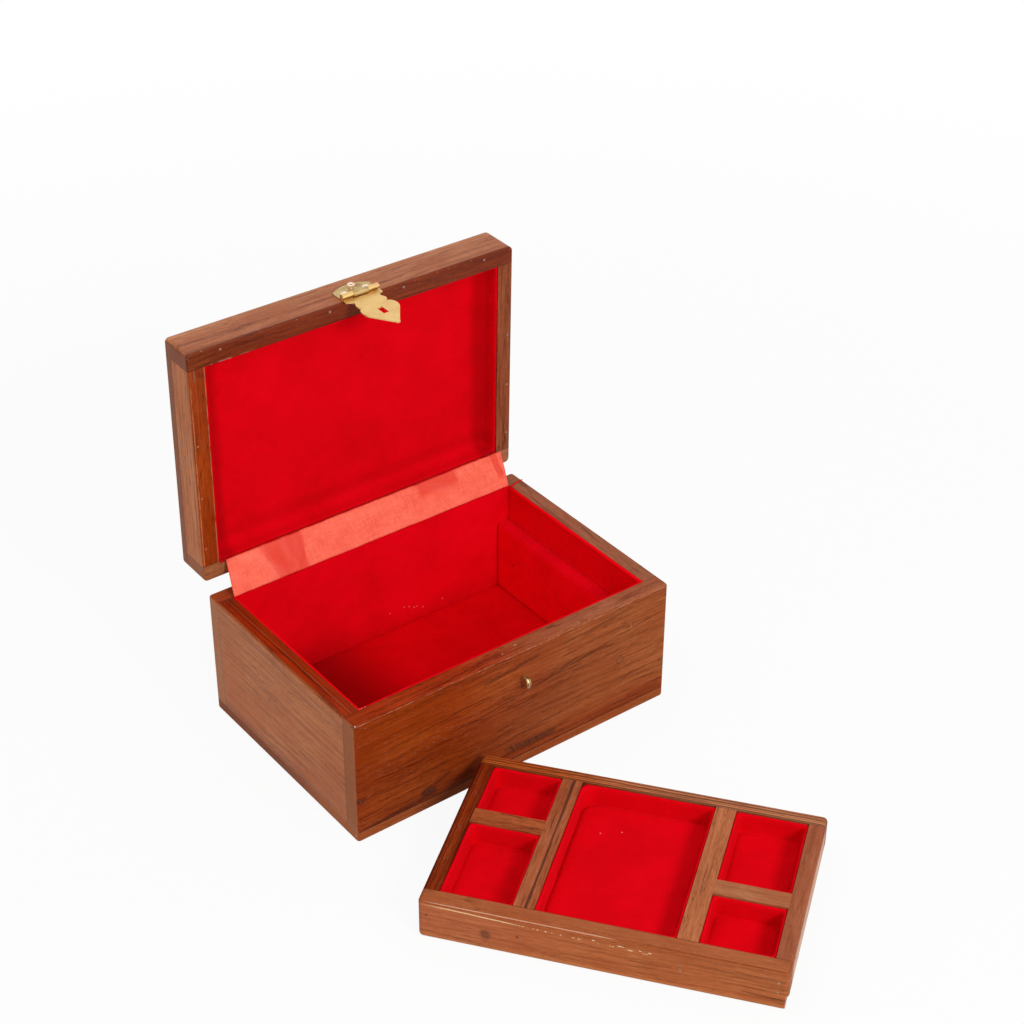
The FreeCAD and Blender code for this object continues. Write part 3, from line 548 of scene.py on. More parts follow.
def tray_left_marks(cloud, x, y, z):
    """Nearly black along the outside, with a red line between two dark ones."""
    swing = x + (cloud(3.5, y / 26, 1.5, 2) - 0.5) * 1.6
    outer, inner = -TRAY_W / 2, -TRAY_W / 2 + TRAY_RAIL
    marks = [
        (x.rise(outer + 3.6, outer + 1.4), (0.62, 0.45, 0.45)),
        (near(swing, outer + 5.2, 1.8, 0.4), (1.24, 1.36, 1.3)),
    ]
    for level, depth in ((outer + 3.9, 0.75), (inner - 2.2, 0.6), (inner - 0.6, 0.5)):
        marks.append((near(swing, level, 0.55, 0.15) * depth, (0.045, 0.01, 0.004), -0.02))
    return marks


def vein_marks(cloud, x, y, z):
    swing = x + (cloud(x / 1.6, y / 40, z / 6, 3) - 0.5) * 2
    return [(near(swing, -48.6, 1.1, 0.4) * 0.8, (0.055, 0.016, 0.01), 0)]


def lid_left_marks(cloud, x, y, z):
    under = z.rise(LID_BOTTOM + 1, LID_BOTTOM + 0.4)
    scar = streak(x, y, (-122.4, -76.6), (-123, -66), 0.35, 0.3)
    fray = cloud(x, y / 9, 2, 3)
    outer = near(x, -125.8, 0.45, 0.15) * y.rise(-66, -60) * fray.rise(0.35, 0.5)
    inner = near(x, -WELL_X - 0.3, 0.4, 0.15) * fray.rise(0.4, 0.5)
    return [
        (x.rise(-122, -121.4) * under, (0.56, 0.248, 0.066)),
        (x.rise(-121.4, -122) * under, (0.64, 0.31, 0.125)),
        (scar * under * 0.8, (0.16, 0.12, 0.1), -0.15),
        (outer * under * 0.4, (0.66, 0.36, 0.14), 0),
        (inner * under * 0.45, (0.56, 0.3, 0.15), 0),
    ]


def lid_front_marks(cloud, x, y, z):
    under = z.rise(LID_BOTTOM + 2.5, LID_BOTTOM + 1.2)
    glued = near(y, -WELL_Y - 0.3, 0.6, 0.2) * x.rise(-70, -96) * x.rise(-112, -108)
    glued = glued * cloud(x / 5, y, 2, 3).rise(0.46, 0.56)
    return [
        (under, (0.455, 0.186, 0.048)),
        (under * x.rise(-106, -122), (1.12, 1.45, 1.5)),
        (x.rise(-126, -126.6), (0.74, 0.62, 0.68)),
        (glued * under * 0.6, (0.42, 0.24, 0.19), 0),
    ]


def panel_marks(cloud, x, y, z):
    """Its left end is bare end grain, darker than the top."""
    return [(x.rise(-126, -126.6), (0.74, 0.68, 0.72))]


# For each board: its grain, the heart of its log, the rings' pitch, its tone, its seed, its gloss,
# its grain's sway and depth, and its own marks.
TEAK_BOARDS = {}
TEAK_BOARDS["base"] = {
    "front_board": ("x", (-190, 60), 5, (0.25, 0.0365, 0.0039), 1.3, 0.03, 3, 1.3, front_marks),
    "back_board": ("x", (150, 90), 4.2, (0.32, 0.102, 0.034), 7.7, 0.1, 1.5, 1, back_marks),
    "left_board": ("y", (-160, -60), 5, (0.442, 0.119, 0.0182), 3.1, 0.14, 1.4, 1.1, left_marks),
    "right_board": ("y", (-140, 60), 4.4, (0.3, 0.092, 0.036), 9.4, 0.1, 1.2, 1.25),
    "bottom_board": ("flat", (60, -70), 4.6, (0.29, 0.064, 0.013), 5.2, 0.04, 1.5, 1, bottom_marks),
}
TEAK_BOARDS["lid"] = {
    "top_panel": ("flat", (20, 20), 5.2, (0.432, 0.153, 0.062), 2.6, 0.14, 0.6, 1.15, panel_marks),
    "front_rail": (
        "x", (10, -240), 3.6, (0.374, 0.118, 0.046), 4.8, 0.14, 0.6, 1.15, lid_front_marks
    ),
    "back_rail": ("x", (10, 200), 4, (0.34, 0.11, 0.04), 6.3, 0.14, 1.5, 1),
    "left_rail": ("y", (240, -90), 3.6, (0.478, 0.137, 0.028), 8.9, 0.14, 1, 1.2, lid_left_marks),
    "right_rail": ("y", (240, 60), 3.4, (0.257, 0.067, 0.021), 1.9, 0.08, 1.2, 1.3),
}
TEAK_BOARDS["tray"] = {
    "front_rail": (
        "x", (-160, -20), 4.4, (0.35, 0.091, 0.0255), 3.7, 0.08, 0.6, 1, tray_front_marks
    ),
    "back_rail": ("x", (8, -90), 3, (0.47, 0.164, 0.066), 5.9, 0.08, 1, 1.1, tray_back_marks),
    "left_rail": ("y", (20, -190), 4, (0.214, 0.026, 0.0042), 2.2, 0.02, 1.2, 1.1, tray_left_marks),
    "right_rail": ("y", (140, 60), 4.2, (0.315, 0.09, 0.036), 6.8, 0.08, 1, 1, tray_right_marks),
    "long_left_divider": ("y", (160, -10), 4, (0.33, 0.083, 0.027), 7.1, 0.08, 1, 1.2, vein_marks),
    "long_right_divider": ("y", (-140, 90), 4, (0.4, 0.12, 0.042), 4.4, 0.08, 1, 1.1),
    "short_left_divider": ("x", (140, 50), 3.6, (0.345, 0.077, 0.021), 8.3, 0.06, 1, 1.3),
    "short_right_divider": ("x", (120, -50), 3.6, (0.36, 0.122, 0.047), 1.1, 0.08, 1, 1.1),
    "bottom": ("flat", (30, -50), 4.2, (0.32, 0.1, 0.036), 9.9, 0.08, 1.5, 1),
}


# ---- cloth and metal
def speck(xyz, centre, reach):
    """1 within reach of a place."""
    off = [(w - c) * (w - c) for w, c in zip(xyz, centre)]
    return (off[0] + off[1] + off[2]).root().rise(reach * 1.25, reach * 0.75)


def velvet(name, body, seed, level, lint=(), stains=(), shades=None, sheen=0.12):
    """Crimson cotton velvet: a fine pile, faintly crushed here and there, with a little lint.

    level scales each piece's brightness, painted light and shade on one cloth; shades gives painted
    light and shade within a piece, as (mask, tinge)."""
    finish = Finish(name)
    xyz = finish.drawn(BODY_FACTS[body][0])
    x, y, z = xyz
    crush = finish.cloud(x / 30 + seed, y / 30, z / 30, 3, 0.5)
    stroke = finish.cloud(x / 7, y / 7 + seed, z / 7, 4, 0.6)
    pile = finish.cloud(x / 0.8, y / 0.8, z / 0.8, 2, 0.6)
    lay = 0.5 + (crush - 0.5) * 1.2 + (stroke - 0.5) * 0.65 + (pile - 0.5) * 0.35
    reds = [(0.1, 0.66, 0.004), (0.5, 0.76, 0.005), (0.9, 0.84, 0.008)]
    # level: painted light and shade, the same cloth made lighter or darker piece by piece
    reds = [(place, (red * level, 0, blue * level)) for place, red, blue in reds]
    colour = finish.ramp(lay, reds)
    # shades: painted light and shade in places
    for mask, tinge in shades(x, y, z, (stroke - 0.5) * 2) if shades else ():
        colour = finish.mix(mask, colour, tinge, "MULTIPLY")
    fluff = finish.cloud(x / 0.7 + seed, y / 0.7, z / 0.7, 1).rise(0.8, 0.83)
    fluff = fluff * finish.cloud(x / 12 + seed, y / 12, z / 12, 1).rise(0.62, 0.7)
    for place in lint:
        fluff = fluff.most(speck(xyz, place, 0.5))
    colour = finish.mix(fluff * 0.6, colour, (0.85, 0.26, 0.24))
    for place, reach in stains:
        colour = finish.mix(speck(xyz, place, reach) * 0.8, colour, (0.12, 0, 0.002))
    return finish.surface(
        base_color=colour,
        roughness=0.95,
        normal=finish.bump(pile * 0.08 + stroke * 0.12, 0.6),
        specular_ior_level=0.04,
        sheen_weight=sheen,
        sheen_roughness=0.5,
        sheen_tint=(1, 0.03, 0.08),
    )


def floor_shades(x, y, z, stroke):
    """Painted shade: much darker and less blue towards the left, where the walls shade the floor,
    and a little darker near the back.
    """
    return [(x.rise(2, -58), (0.44, 1, 0.3)), (y.rise(22, 44), (0.92, 1, 0.7))]


def wall_shades(x, y, z, stroke):
    # Painted shade low on the back wall, darkest at the left, where the front wall shades it;
    # painted light on the right wall.
    rear = y.rise(WELL_Y - 3, WELL_Y - 2)
    return [
        (rear * z.rise(36, 14), (0.86, 1, 0.8)),
        (rear * z.rise(44, 14) * x.rise(-10, -60), (0.74, 1, 0.6)),
        (rear, (0.97, 1, 1.2)),
        (x.rise(WELL_X - 3, WELL_X - 2), (1.08, 1, 0.8)),
    ]


def ledge_shades(x, y, z, stroke):
    """The top of the ledge is darker, painted shade, and pinker where the tray has rubbed it; the
    face below is lighter, painted light.
    """
    top = z.rise(LEDGE_TOP - 2, LEDGE_TOP - 0.6)
    return [(top, (0.8, 1, 1.3)), (z.rise(LEDGE_TOP - 0.6, LEDGE_TOP - 2), (1.1, 1, 1.1))]


def lid_shades(x, y, z, stroke):
    """Painted shade: darker along the sides, and in a soft band above the strip, where the cove
    lies in shade.
    """
    side = WELL_X - abs(x) + stroke
    rear = WELL_Y - y + stroke
    return [
        (side.rise(17, 9) * side.rise(1.8, 3) * 0.9, (0.68, 1, 0.6)),
        (rear.rise(20, 11) * rear.rise(6, 10) * 0.6, (0.78, 1, 0.7)),
        (rear.rise(10, 7) * 0.5, (0.9, 1, 1)),
    ]


def satin(name):
    """Coral satin ribbon: fine ribbed threads across the strip, with painted shade where it turns
    away from the light.
    """
    finish = Finish(name)
    x, y, z = finish.drawn(BASE)
    thread = finish.cloud(x / 0.6, y / 7, z / 7, 2, 0.6)
    weft = finish.cloud(x / 9, y / 0.6, z / 0.6, 2, 0.6)
    stain = finish.cloud(x / 16, y / 12, z / 12, 3)
    lay = 0.5 + (thread - 0.5) * 0.8 + (weft - 0.5) * 0.7 + (stain - 0.5) * 0.5
    stops = [(0.12, (0.78, 0.07, 0.038)), (0.5, (0.94, 0.14, 0.08)), (0.88, (1, 0.215, 0.132))]
    colour = finish.ramp(lay, stops)
    shade_wobble = finish.cloud(x / 2.5, y / 14, z / 14, 3)
    rise = (z - SATIN_FOOT) / SATIN_RISE
    # Painted shade over the creases, where the strip turns away from the light, with a wobbly edge.
    for middle, half, spread, start, depth in (
        (-68, 12.5, 6.5, -0.3, 0.6),
        (-71, 7, 4, -0.3, 0.4),
        (-59, 3.4, 3.6, -0.3, 0.5),
        (60, 17, 2, 0.62, 0.75),
        (110.5, 2.2, 1, 0.3, 0.7),
    ):
        off = abs(x + (shade_wobble - 0.5) * 4 - middle) / (rise * spread + half)
        mask = off.rise(1, 0.78) * rise.rise(start - 0.12, start + 0.12)
        colour = finish.mix(mask * depth, colour, (0.76, 0.042, 0.022))
    return finish.surface(
        base_color=colour,
        roughness=0.48 + (thread - 0.5) * 0.2,
        normal=finish.bump(thread * 0.05 + weft * 0.05),
        specular_ior_level=0.2,
        anisotropic=0.4,
        sheen_weight=0.08,
        sheen_roughness=0.4,
        sheen_tint=(1, 0.4, 0.3),
    )


def brass(name, pose, light, dark, tarnish, seed, rough=0.36, marks=None):
    """Sheet or cast brass: rubbed bright in places, browned in others, finely scratched."""
    finish = Finish(name)
    x, y, z = finish.drawn(pose)
    age = finish.cloud(x / 7 + seed, y / 7, z / 7, 4, 0.6)
    grime = finish.cloud(x / 1.8, y / 1.8 + seed, z / 1.8, 3, 0.6)
    scratch = finish.cloud(x / 0.25, y / 4 + seed, z / 4, 2, 0.6)
    dent = finish.cloud(x / 2.6, y / 2.6, z / 2.6 + seed, 1)
    worn = age.rise(0.35, 0.7)
    colour = finish.mix(worn, light, dark)
    colour = finish.mix(grime.rise(0.52, 0.75) * tarnish, colour, (0.2, 0.1, 0.035))
    height = scratch * 0.012 + dent * 0.05
    if marks:
        for mask, tint, lift in marks(x, y, z):
            colour = finish.mix(mask, colour, tint)
            height = height + mask * lift
    gloss = rough + worn * 0.1 + (scratch - 0.5) * 0.2 + grime.rise(0.5, 0.8) * 0.2
    normal = finish.bump(height)
    return finish.surface(base_color=colour, metallic=1, roughness=gloss, normal=normal)


def plate_marks(x, y, z):
    """Brown tarnish beside the upper rivet."""
    return [(spot(x, z, (LATCH_X + 5.5, 108.8), (2.6, 2.2), 0.6) * 0.65, (0.36, 0.18, 0.07), 0)]


def knob_marks(x, y, z):
    """The dark line between the two leaves that the button is folded from."""
    line = near(x, LATCH_X + 0.35, 0.32, 0.12) * y.rise(-89.4, -89.8)
    return [(line * 0.85, (0.05, 0.028, 0.012), -0.4)]


def steel(name, pose, sunk_left):
    """Plain steel nails; those left of sunk_left are punched in and stopped with dark wax."""
    finish = Finish(name)
    x, y, z = finish.drawn(pose)
    rust = finish.cloud(x / 0.8, y / 0.8, z / 0.8, 3)
    colour = finish.mix(rust.rise(0.4, 0.62), (0.4, 0.27, 0.21), (0.2, 0.09, 0.045))
    stopped = x.rise(sunk_left + 1, sunk_left)
    colour = finish.mix(stopped, colour, (0.36, 0.105, 0.038))
    bright = 0.35 - stopped * 0.35
    rough = 0.42 + rust * 0.3 + stopped * 0.1
    return finish.surface(base_color=colour, metallic=bright, roughness=rough)


# Each metal's colour where it is rubbed and where it is browned.
HINGE = (0.66, 0.47, 0.22), (0.42, 0.27, 0.11)
STRAP = (0.84, 0.56, 0.22), (0.76, 0.49, 0.19)
PLATE = (0.62, 0.46, 0.21), (0.44, 0.31, 0.13)
RIVET = (0.95, 0.78, 0.66), (0.85, 0.62, 0.45)
KNOB = (0.74, 0.56, 0.28), (0.42, 0.28, 0.11)

HINGE_PARTS = ("base_leaf", "lid_leaf", "pin")


# ---- mesh helpers
class Shell:
    """Points in a body's drawing and the faces between them."""

    def __init__(self):
        self.points, self.faces = [], []

    def row(self, points):
        start = len(self.points)
        self.points.extend(Vector(p) for p in points)
        return list(range(start, len(self.points)))

    def strip(self, first, second, closed=False):
        count = len(first)
        for i in range(count if closed else count - 1):
            j = (i + 1) % count
            self.faces.append((first[i], first[j], second[j], second[i]))

    def fan(self, ring, point):
        middle = self.row([point])[0]
        for i, corner in enumerate(ring):
            self.faces.append((corner, ring[(i + 1) % len(ring)], middle))


def closed_strip(rows):
    """Solid strip with flat ends through rows of equal length."""
    shell = Shell()
    rows = [shell.row(row) for row in rows]
    for first, second in zip(rows, rows[1:] + rows[:1]):
        shell.strip(first, second)
    shell.faces += [tuple(row[0] for row in rows), tuple(row[-1] for row in rows)]
    return shell


def stand(name, data):
    """Put an object into the scene."""
    made = bpy.data.objects.new(name, data)
    bpy.context.scene.collection.objects.link(made)
    return made


def settle(piece, body, slot, *nodes):
    """Let a piece ride on a body in place of its nodes."""
    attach(piece, body)
    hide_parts(*nodes)


def make_piece(name, shells, body, material):
    """One mesh from shells drawn in millimetres, moved to where the body rests."""
    pose = BODY_FACTS[body][0]
    mesh = bpy.data.meshes.new(name)
    points, faces = [], []
    for shell in shells:
        first = len(points)
        points.extend(pose.place(p) for p in shell.points)
        faces.extend(tuple(first + i for i in face) for face in shell.faces)
    mesh.from_pydata(points, [], faces)
    work = bmesh.new()
    work.from_mesh(mesh)
    bmesh.ops.remove_doubles(work, verts=work.verts, dist=1e-6)
    bmesh.ops.recalc_face_normals(work, faces=work.faces)
    work.to_mesh(mesh)
    work.free()
    mesh.shade_smooth()
    mesh.materials.append(material)
    return stand(name, mesh)


def lining(name, shells, body, material, *nodes):
    """A piece of velvet that stands for the body's lining nodes."""
    piece = make_piece("velvet_" + name, shells, body, material)
    settle(piece, body, "velvet_" + body, *nodes)
    return piece


def border(grid):
    """What lies round the edge of a grid of rows, in order."""
    up, down = [row[-1] for row in grid[1:]], [row[0] for row in grid[-2:0:-1]]
    return grid[0] + up + grid[-1][-2::-1] + down


def ripple(point, reach, seed):
    """Slow unevenness from -1 to 1."""
    return noise.noise(Vector(point) / reach + Vector((seed, seed * 1.7, -seed)))


def spaced(length, rim, cell):
    """Places from 0 to length, close together within rim of either end."""
    edge = [rim * (1 - math.cos(math.radians(a))) for a in (0, 22, 40, 58, 74, 90)]
    count = max(1, round((length - 2 * rim) / cell))
    middle = [rim + (length - 2 * rim) * i / count for i in range(1, count)]
    return edge + middle + [length - p for p in reversed(edge)]


def soft_slab(width, height, thick, rim, lump, seed, lay, cell=5, roll=0, fray=0):
    """Covered pad: flat back, sides, and a front that rounds over within rim of its edges.

    lay(u, v, n) puts a place on the pad, n away from its back, into the drawing.
    roll thickens the far edge, where the cloth is turned over its card, and fray makes it wavy."""
    us, vs = spaced(width, rim, cell), spaced(height, rim, cell)
    if roll:
        vs = sorted(vs + [height - back for back in (1, 1.4, 1.9, 2.5, 3.4)])
    shell = Shell()

    def swell(p, length):
        short = max(0, 1 - min(p, length - p) / rim)
        return math.sqrt(max(0, 1 - short * short))

    def front(u, v):
        full = swell(u, width) * swell(v, height)
        rise = thick - rim * 0.8 * (1 - full) + lump * ripple((u, v, 0), 22, seed) * full
        rise += lump * 0.4 * ripple((u, v, 9), 7, seed) * full
        turned = roll * (1 + 0.5 * ripple((u, 7, 0), 11, seed))
        turned *= math.exp(-(((height - v - 0.9) / 1.1) ** 2))
        return max(rise, thick * 0.12) + turned

    def cut(u, v):
        return v + fray * ripple((u, 3, 0), 9, seed) * (v / height) ** 6

    top = [shell.row([lay(u, cut(u, v), front(u, v)) for u in us]) for v in vs]
    for lower, upper in zip(top, top[1:]):
        shell.strip(lower, upper)
    edge, upper = border([[(u, v) for u in us] for v in vs]), border(top)
    for share in (0.66, 0.33, 0):
        lower = shell.row([lay(u, cut(u, v), front(u, v) * share) for u, v in edge])
        shell.strip(upper, lower, closed=True)
        upper = lower
    shell.fan(upper, lay(width / 2, height / 2, 0))
    return shell


def round_rectangle(half_w, half_d, radii, counts):
    """Outline of a rectangle with rounded corners, with counts places along its sides."""
    arcs = []
    for quarter, (sx, sy) in enumerate(((1, 1), (-1, 1), (-1, -1), (1, -1))):
        radius = radii[quarter]
        centre = Vector((sx * (half_w - radius), sy * (half_d - radius)))
        angles = [math.radians(90 * quarter + 15 * step) for step in range(7)]
        arcs.append([centre + Vector((math.cos(a), math.sin(a))) * radius for a in angles])
    outline = []
    for quarter, arc in enumerate(arcs):
        following, count = arcs[(quarter + 1) % 4][0], counts[quarter % 2]
        outline.extend(arc)
        outline.extend(arc[-1].lerp(following, i / count) for i in range(1, count))
    return outline


def bowl(middle, half_w, half_d, section, radii, foot, lump, seed, cell=4):
    """Cloth-covered tray: walls and floor in one skin. section lists (inset, height) from the
    outside over the rim and down to the floor, which then runs level to the middle; foot is
    the height of the flat back."""
    shell = Shell()
    counts = (round(2 * half_w / cell), round(2 * half_d / cell))
    last_inset, level = section[-1]
    reach = min(half_w, half_d) - 0.6 - last_inset
    steps = max(1, round(reach / (cell * 1.3)))
    spread = [last_inset + reach * (i + 1) / steps for i in range(steps)]
    rows = []
    for inset, height in section + [(inset, level) for inset in spread]:
        room = 0.97 * (min(half_w, half_d) - inset)
        rounding = [min(room, r * (0.5 + 0.5 * min(1, inset / 1.9))) for r in radii]
        points = []
        for p in round_rectangle(half_w - inset, half_d - inset, rounding, counts):
            place = Vector((middle[0] + p.x, middle[1] + p.y, height))
            share = min(1, inset / 1.2)
            inward = Vector((-p.x / half_w, -p.y / half_d, 0))
            place += inward * lump * share * ripple(place, 15, seed)
            place.z += lump * share * ripple((place.x, place.y, seed), 13, seed)
            points.append(place)
        rows.append(shell.row(points))
    for first, second in zip(rows, rows[1:]):
        shell.strip(first, second, closed=True)
    shell.faces.append(tuple(rows[-1]))
    inset, radii = section[0][0], [r / 2 for r in radii]
    outline = round_rectangle(half_w - inset, half_d - inset, radii, counts)
    back = shell.row([(middle[0] + p.x, middle[1] + p.y, foot) for p in outline])
    shell.strip(rows[0], back, closed=True)
    shell.faces.append(tuple(back))
    return shell


# ---- velvet in the base
BACK_LINT = [(8.7, 27.9), (20.8, 28.1), (25.1, 26.9), (29.4, 24.4), (32, 24.3), (37.2, 21.6)]
BACK_LINT.append((54.4, 21.4))
WALL_LINT = [(x, WELL_Y - LINING_T, z) for x, z in BACK_LINT]
WALL_LINT += [(x, -WELL_Y + 0.7, BASE_H - 0.3) for x in (-113.6, -112.2, -109.8)]


def rim_sliver():
    """A cut end of the cloth, glued down across the back right corner of the rim."""
    places = [(113.6, 71), (118, 73.2), (122.5, 74.1), (127, 74.8)]
    rows = []
    for level, side in ((95.18, 0.75), (95.18, -0.75), (95.03, -0.75), (95.03, 0.75)):
        rows.append([(x, y + side * (1 - 0.12 * i), level) for i, (x, y) in enumerate(places)])
    return closed_strip(rows)


def line_base():
    x, y, t, low = WELL_X, WELL_Y, LINING_T, FLOOR_TOP
    tall = BASE_H - WALL_DROP - low
    cloth = velvet("crimson_velvet_walls", "base", 2.9, 1.03, WALL_LINT, shades=wall_shades)
    lays = {
        "back": (2 * x, lambda u, v, n: (u - x, y - n, low + v), 3),
        "front": (2 * x, lambda u, v, n: (x - u, -y + n, low + v), 5),
        "left": (2 * (y - t), lambda u, v, n: (-x + n, u - y + t, low + v), 7),
        "right": (2 * (y - t), lambda u, v, n: (x - n, y - t - u, low + v), 9),
    }
    for side, (width, lay, seed) in lays.items():
        roll = 0 if side == "back" else 0.7
        shells = [soft_slab(width, tall, t, 0.7, 0.22, seed, lay, 5, roll, 0.35)]
        if side == "back":
            shells.append(rim_sliver())
        lining(side + "_wall", shells, "base", cloth, "base_lining_" + side)
    cloth = velvet("crimson_velvet_floor", "base", 0.4, 0.99, shades=floor_shades, sheen=0.02)
    lay = lambda u, v, n: (u - x, v - y, BOTTOM_T + n)
    shell = soft_slab(2 * x, 2 * y, low - BOTTOM_T, 0.9, 0.35, 11, lay)
    lining("floor_pad", [shell], "base", cloth, "base_lining_floor")
    stains = [((103.5, 54.9, 40.4), 0.8)]
    cloth = velvet("crimson_velvet_ledges", "base", 6.2, 1.18, (), stains, ledge_shades)
    for side, s in (("left", -1), ("right", 1)):
        lay = lambda u, v, n: (s * (x - t - n), s * (y - t - u), low + v)
        shell = soft_slab(2 * (y - t), LEDGE_TOP - low, LEDGE_T, 2.4, 0.3, 13 + s, lay)
        lining("ledge_" + side, [shell], "base", cloth, "tray_ledge_" + side)


# ---- velvet in the lid
def lid_hem():
    """The cloth's ragged edge, turned over the back rail's arris behind the satin strip."""
    across = [WELL_X * (i / 30 - 1) * 0.995 for i in range(61)]
    rows = []
    for level, edge in ((0.04, 0.9), (0.04, -0.6), (0.24, -0.75), (0.24, 0.9)):
        fray = 0.35 if edge < 0 else 0
        ragged = [WELL_Y + edge + fray * ripple((x, level, 0), 5, 21) for x in across]
        rows.append([(x, y, LID_BOTTOM - level) for x, y in zip(across, ragged)])
    return closed_strip(rows)


def line_lid():
    """One skin: rolled rim, straight walls, and a wide soft cove into the padded panel."""
    cloth = velvet("crimson_velvet_lid", "lid", 5.5, 0.89, shades=lid_shades)
    deep = LID_BOTTOM + LID_RECESS
    edge = LID_BOTTOM + LINING_DROP
    section = [(0.05, PANEL_BOTTOM - 0.1), (0.05, edge + 0.8), (0.3, edge + 0.2), (0.9, edge)]
    section += [(1.4, edge + 0.2), (1.75, edge + 1), (1.9, edge + 3), (2.2, deep - 7)]
    section += [(3, deep - 4.6), (5, deep - 2.9), (8.5, deep - 1.5)]
    section += [(13, deep - 0.5), (19, deep + 0.2)]
    shell = bowl((0, 0), WELL_X, WELL_Y, section, [3] * 4, PANEL_BOTTOM, 0.35, 4, 5)
    nodes = ["lid_lining_" + side for side in ("front", "back", "left", "right", "pad")]
    lining("lid_lining", [shell, lid_hem()], "lid", cloth, *nodes)


# ---- velvet in the tray
def line_tray():
    inner, outer = DIVIDER_X + DIVIDER_T / 2, TRAY_W / 2 - TRAY_RAIL
    half = TRAY_D / 2 - TRAY_RAIL
    low, high = CROSS_Y - DIVIDER_T / 2, CROSS_Y + DIVIDER_T / 2
    middle = DIVIDER_X - DIVIDER_T / 2
    rooms = {
        "back_left": (-outer, -inner, high, half, (2.5, 3.5, 2.5, 2.5)),
        "front_left": (-outer, -inner, -half, low, (2.5, 4, 2.5, 2.5)),
        "centre": (-middle, middle, -half, half, (3, 9, 2.5, 2.5)),
        "back_right": (inner, outer, -low, half, (2.5, 3, 2.5, 2.5)),
        "front_right": (inner, outer, -half, -high, (2.5, 3, 2.5, 2.5)),
    }
    lint = [(-24.3, 30.7, 17), (-11.4, 35.3, 17)]
    cloth = velvet("crimson_velvet_tray", "tray", 8.1, 0.91, lint)
    top = TRAY_H - LINER_DROP
    floor = TRAY_FLOOR + LINER_PAD_T
    for count, (room, (x0, x1, y0, y1, radii)) in enumerate(rooms.items()):
        centre = ((x0 + x1) / 2, (y0 + y1) / 2)
        groove = 1 if room == "centre" else 0.35
        section = [(0.05, TRAY_FLOOR + 0.1), (0.05, top - 0.9), (0.3, top - 0.2)]
        section += [(0.95, top + 0.05), (1.6, top - 0.2), (2, top - 1), (2.1, top - 4)]
        section += [(2.2, floor + 3), (2.3, floor + 0.6), (2.55, floor - 1.1 * groove)]
        section += [(3, floor - 1 * groove), (3.6, floor + 0.3), (6, floor + 0.7)]
        size = (x1 - x0) / 2, (y1 - y0) / 2
        shell = bowl(centre, *size, section, radii, TRAY_FLOOR, 0.32, 3 + count * 2.3)
        lining("tray_" + room, [shell], "tray", cloth, "tray_liner_" + room)


# ---- satin strip
SATIN_LOW = Vector((0, WELL_Y - LINING_T, SATIN_FOOT))
SATIN_HALF = WELL_X - 0.8


def satin_strip():
    """A flat ribbon pulled taut, with a few hard creases where it was folded into the box."""
    edge = LID.rest @ Vector((0, WELL_Y, LID_BOTTOM))
    high = Vector((0, edge.y - 0.5, edge.z))
    run = high - SATIN_LOW
    length = run.length
    out = Vector((0, -run.z, run.y)).normalized()
    creases = [
        (-68.6, 0, -90, 22, 5, 1.5),
        (-68.6, 0, -74, 24, 3, -1.2),
        (-66, 0, -52, 24, 2.6, 1.5),
        (36, 24.5, 74, 17.5, 2.6, 1.1),
        (48, 20, 62, 12, 3.4, -0.9),
        (100, 8, 112, 13, 1.8, 0.9),
        (98, 15, 112, 17.5, 1.6, -0.8),
    ]

    def crease(u, v):
        total = 0
        for u0, v0, u1, v1, width, rise in creases:
            du, dv = u1 - u0, v1 - v0
            t = max(0, min(1, ((u - u0) * du + (v - v0) * dv) / (du * du + dv * dv)))
            off = math.hypot(u - u0 - du * t, v - v0 - dv * t)
            total += rise * math.exp(-((off / width) ** 2)) * (1 - 0.5 * t)
        return total

    def lay(u, v, side):
        held = math.sin(math.pi * min(1, max(0, v / length)))
        lift = (crease(u, v) + 0.45 * ripple((u, v, 0), 14, 3)) * (0.25 + 0.75 * held)
        jag = 0.35 * ripple((u, 5, 0), 6, 1) * (v / length)
        jag += 0.22 * ripple((u, 2, 0), 7, 6) * (1 - v / length)
        slip = u - 0.7 + 4.8 * (v / length)
        centre = SATIN_LOW + run * ((v + jag) / length) + out * (0.5 + lift)
        return (slip, centre.y + out.y * side, centre.z + out.z * side)

    shell = Shell()
    us = [-SATIN_HALF + 2 * SATIN_HALF * i / 150 for i in range(151)]
    vs = [length * j / 22 for j in range(23)]
    front, back = ([shell.row([lay(u, v, side) for u in us]) for v in vs] for side in (0.16, -0.16))
    for rows in (front, back):
        for lower, upper in zip(rows, rows[1:]):
            shell.strip(lower, upper)
    for fore, rear in ((front, back), (list(zip(*front)), list(zip(*back)))):
        shell.strip(fore[0], rear[0])
        shell.strip(fore[-1], rear[-1])
    piece = make_piece("satin_ribbon", [shell], "base", satin("coral_satin"))
    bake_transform(piece)
    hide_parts("satin_strip")


# ---- slotted screws
SCREW_SIZES = {"Head radius": 1.85, "Shank radius": 0.9, "Head depth": 1.0}
SCREW_SIZES.update({"Shank length": 7.9, "Slot width": 0.5})
HINGE_X, SCREW_STEP, SCREW_BACK, SCREW_Z = 78, 9, 10, 97


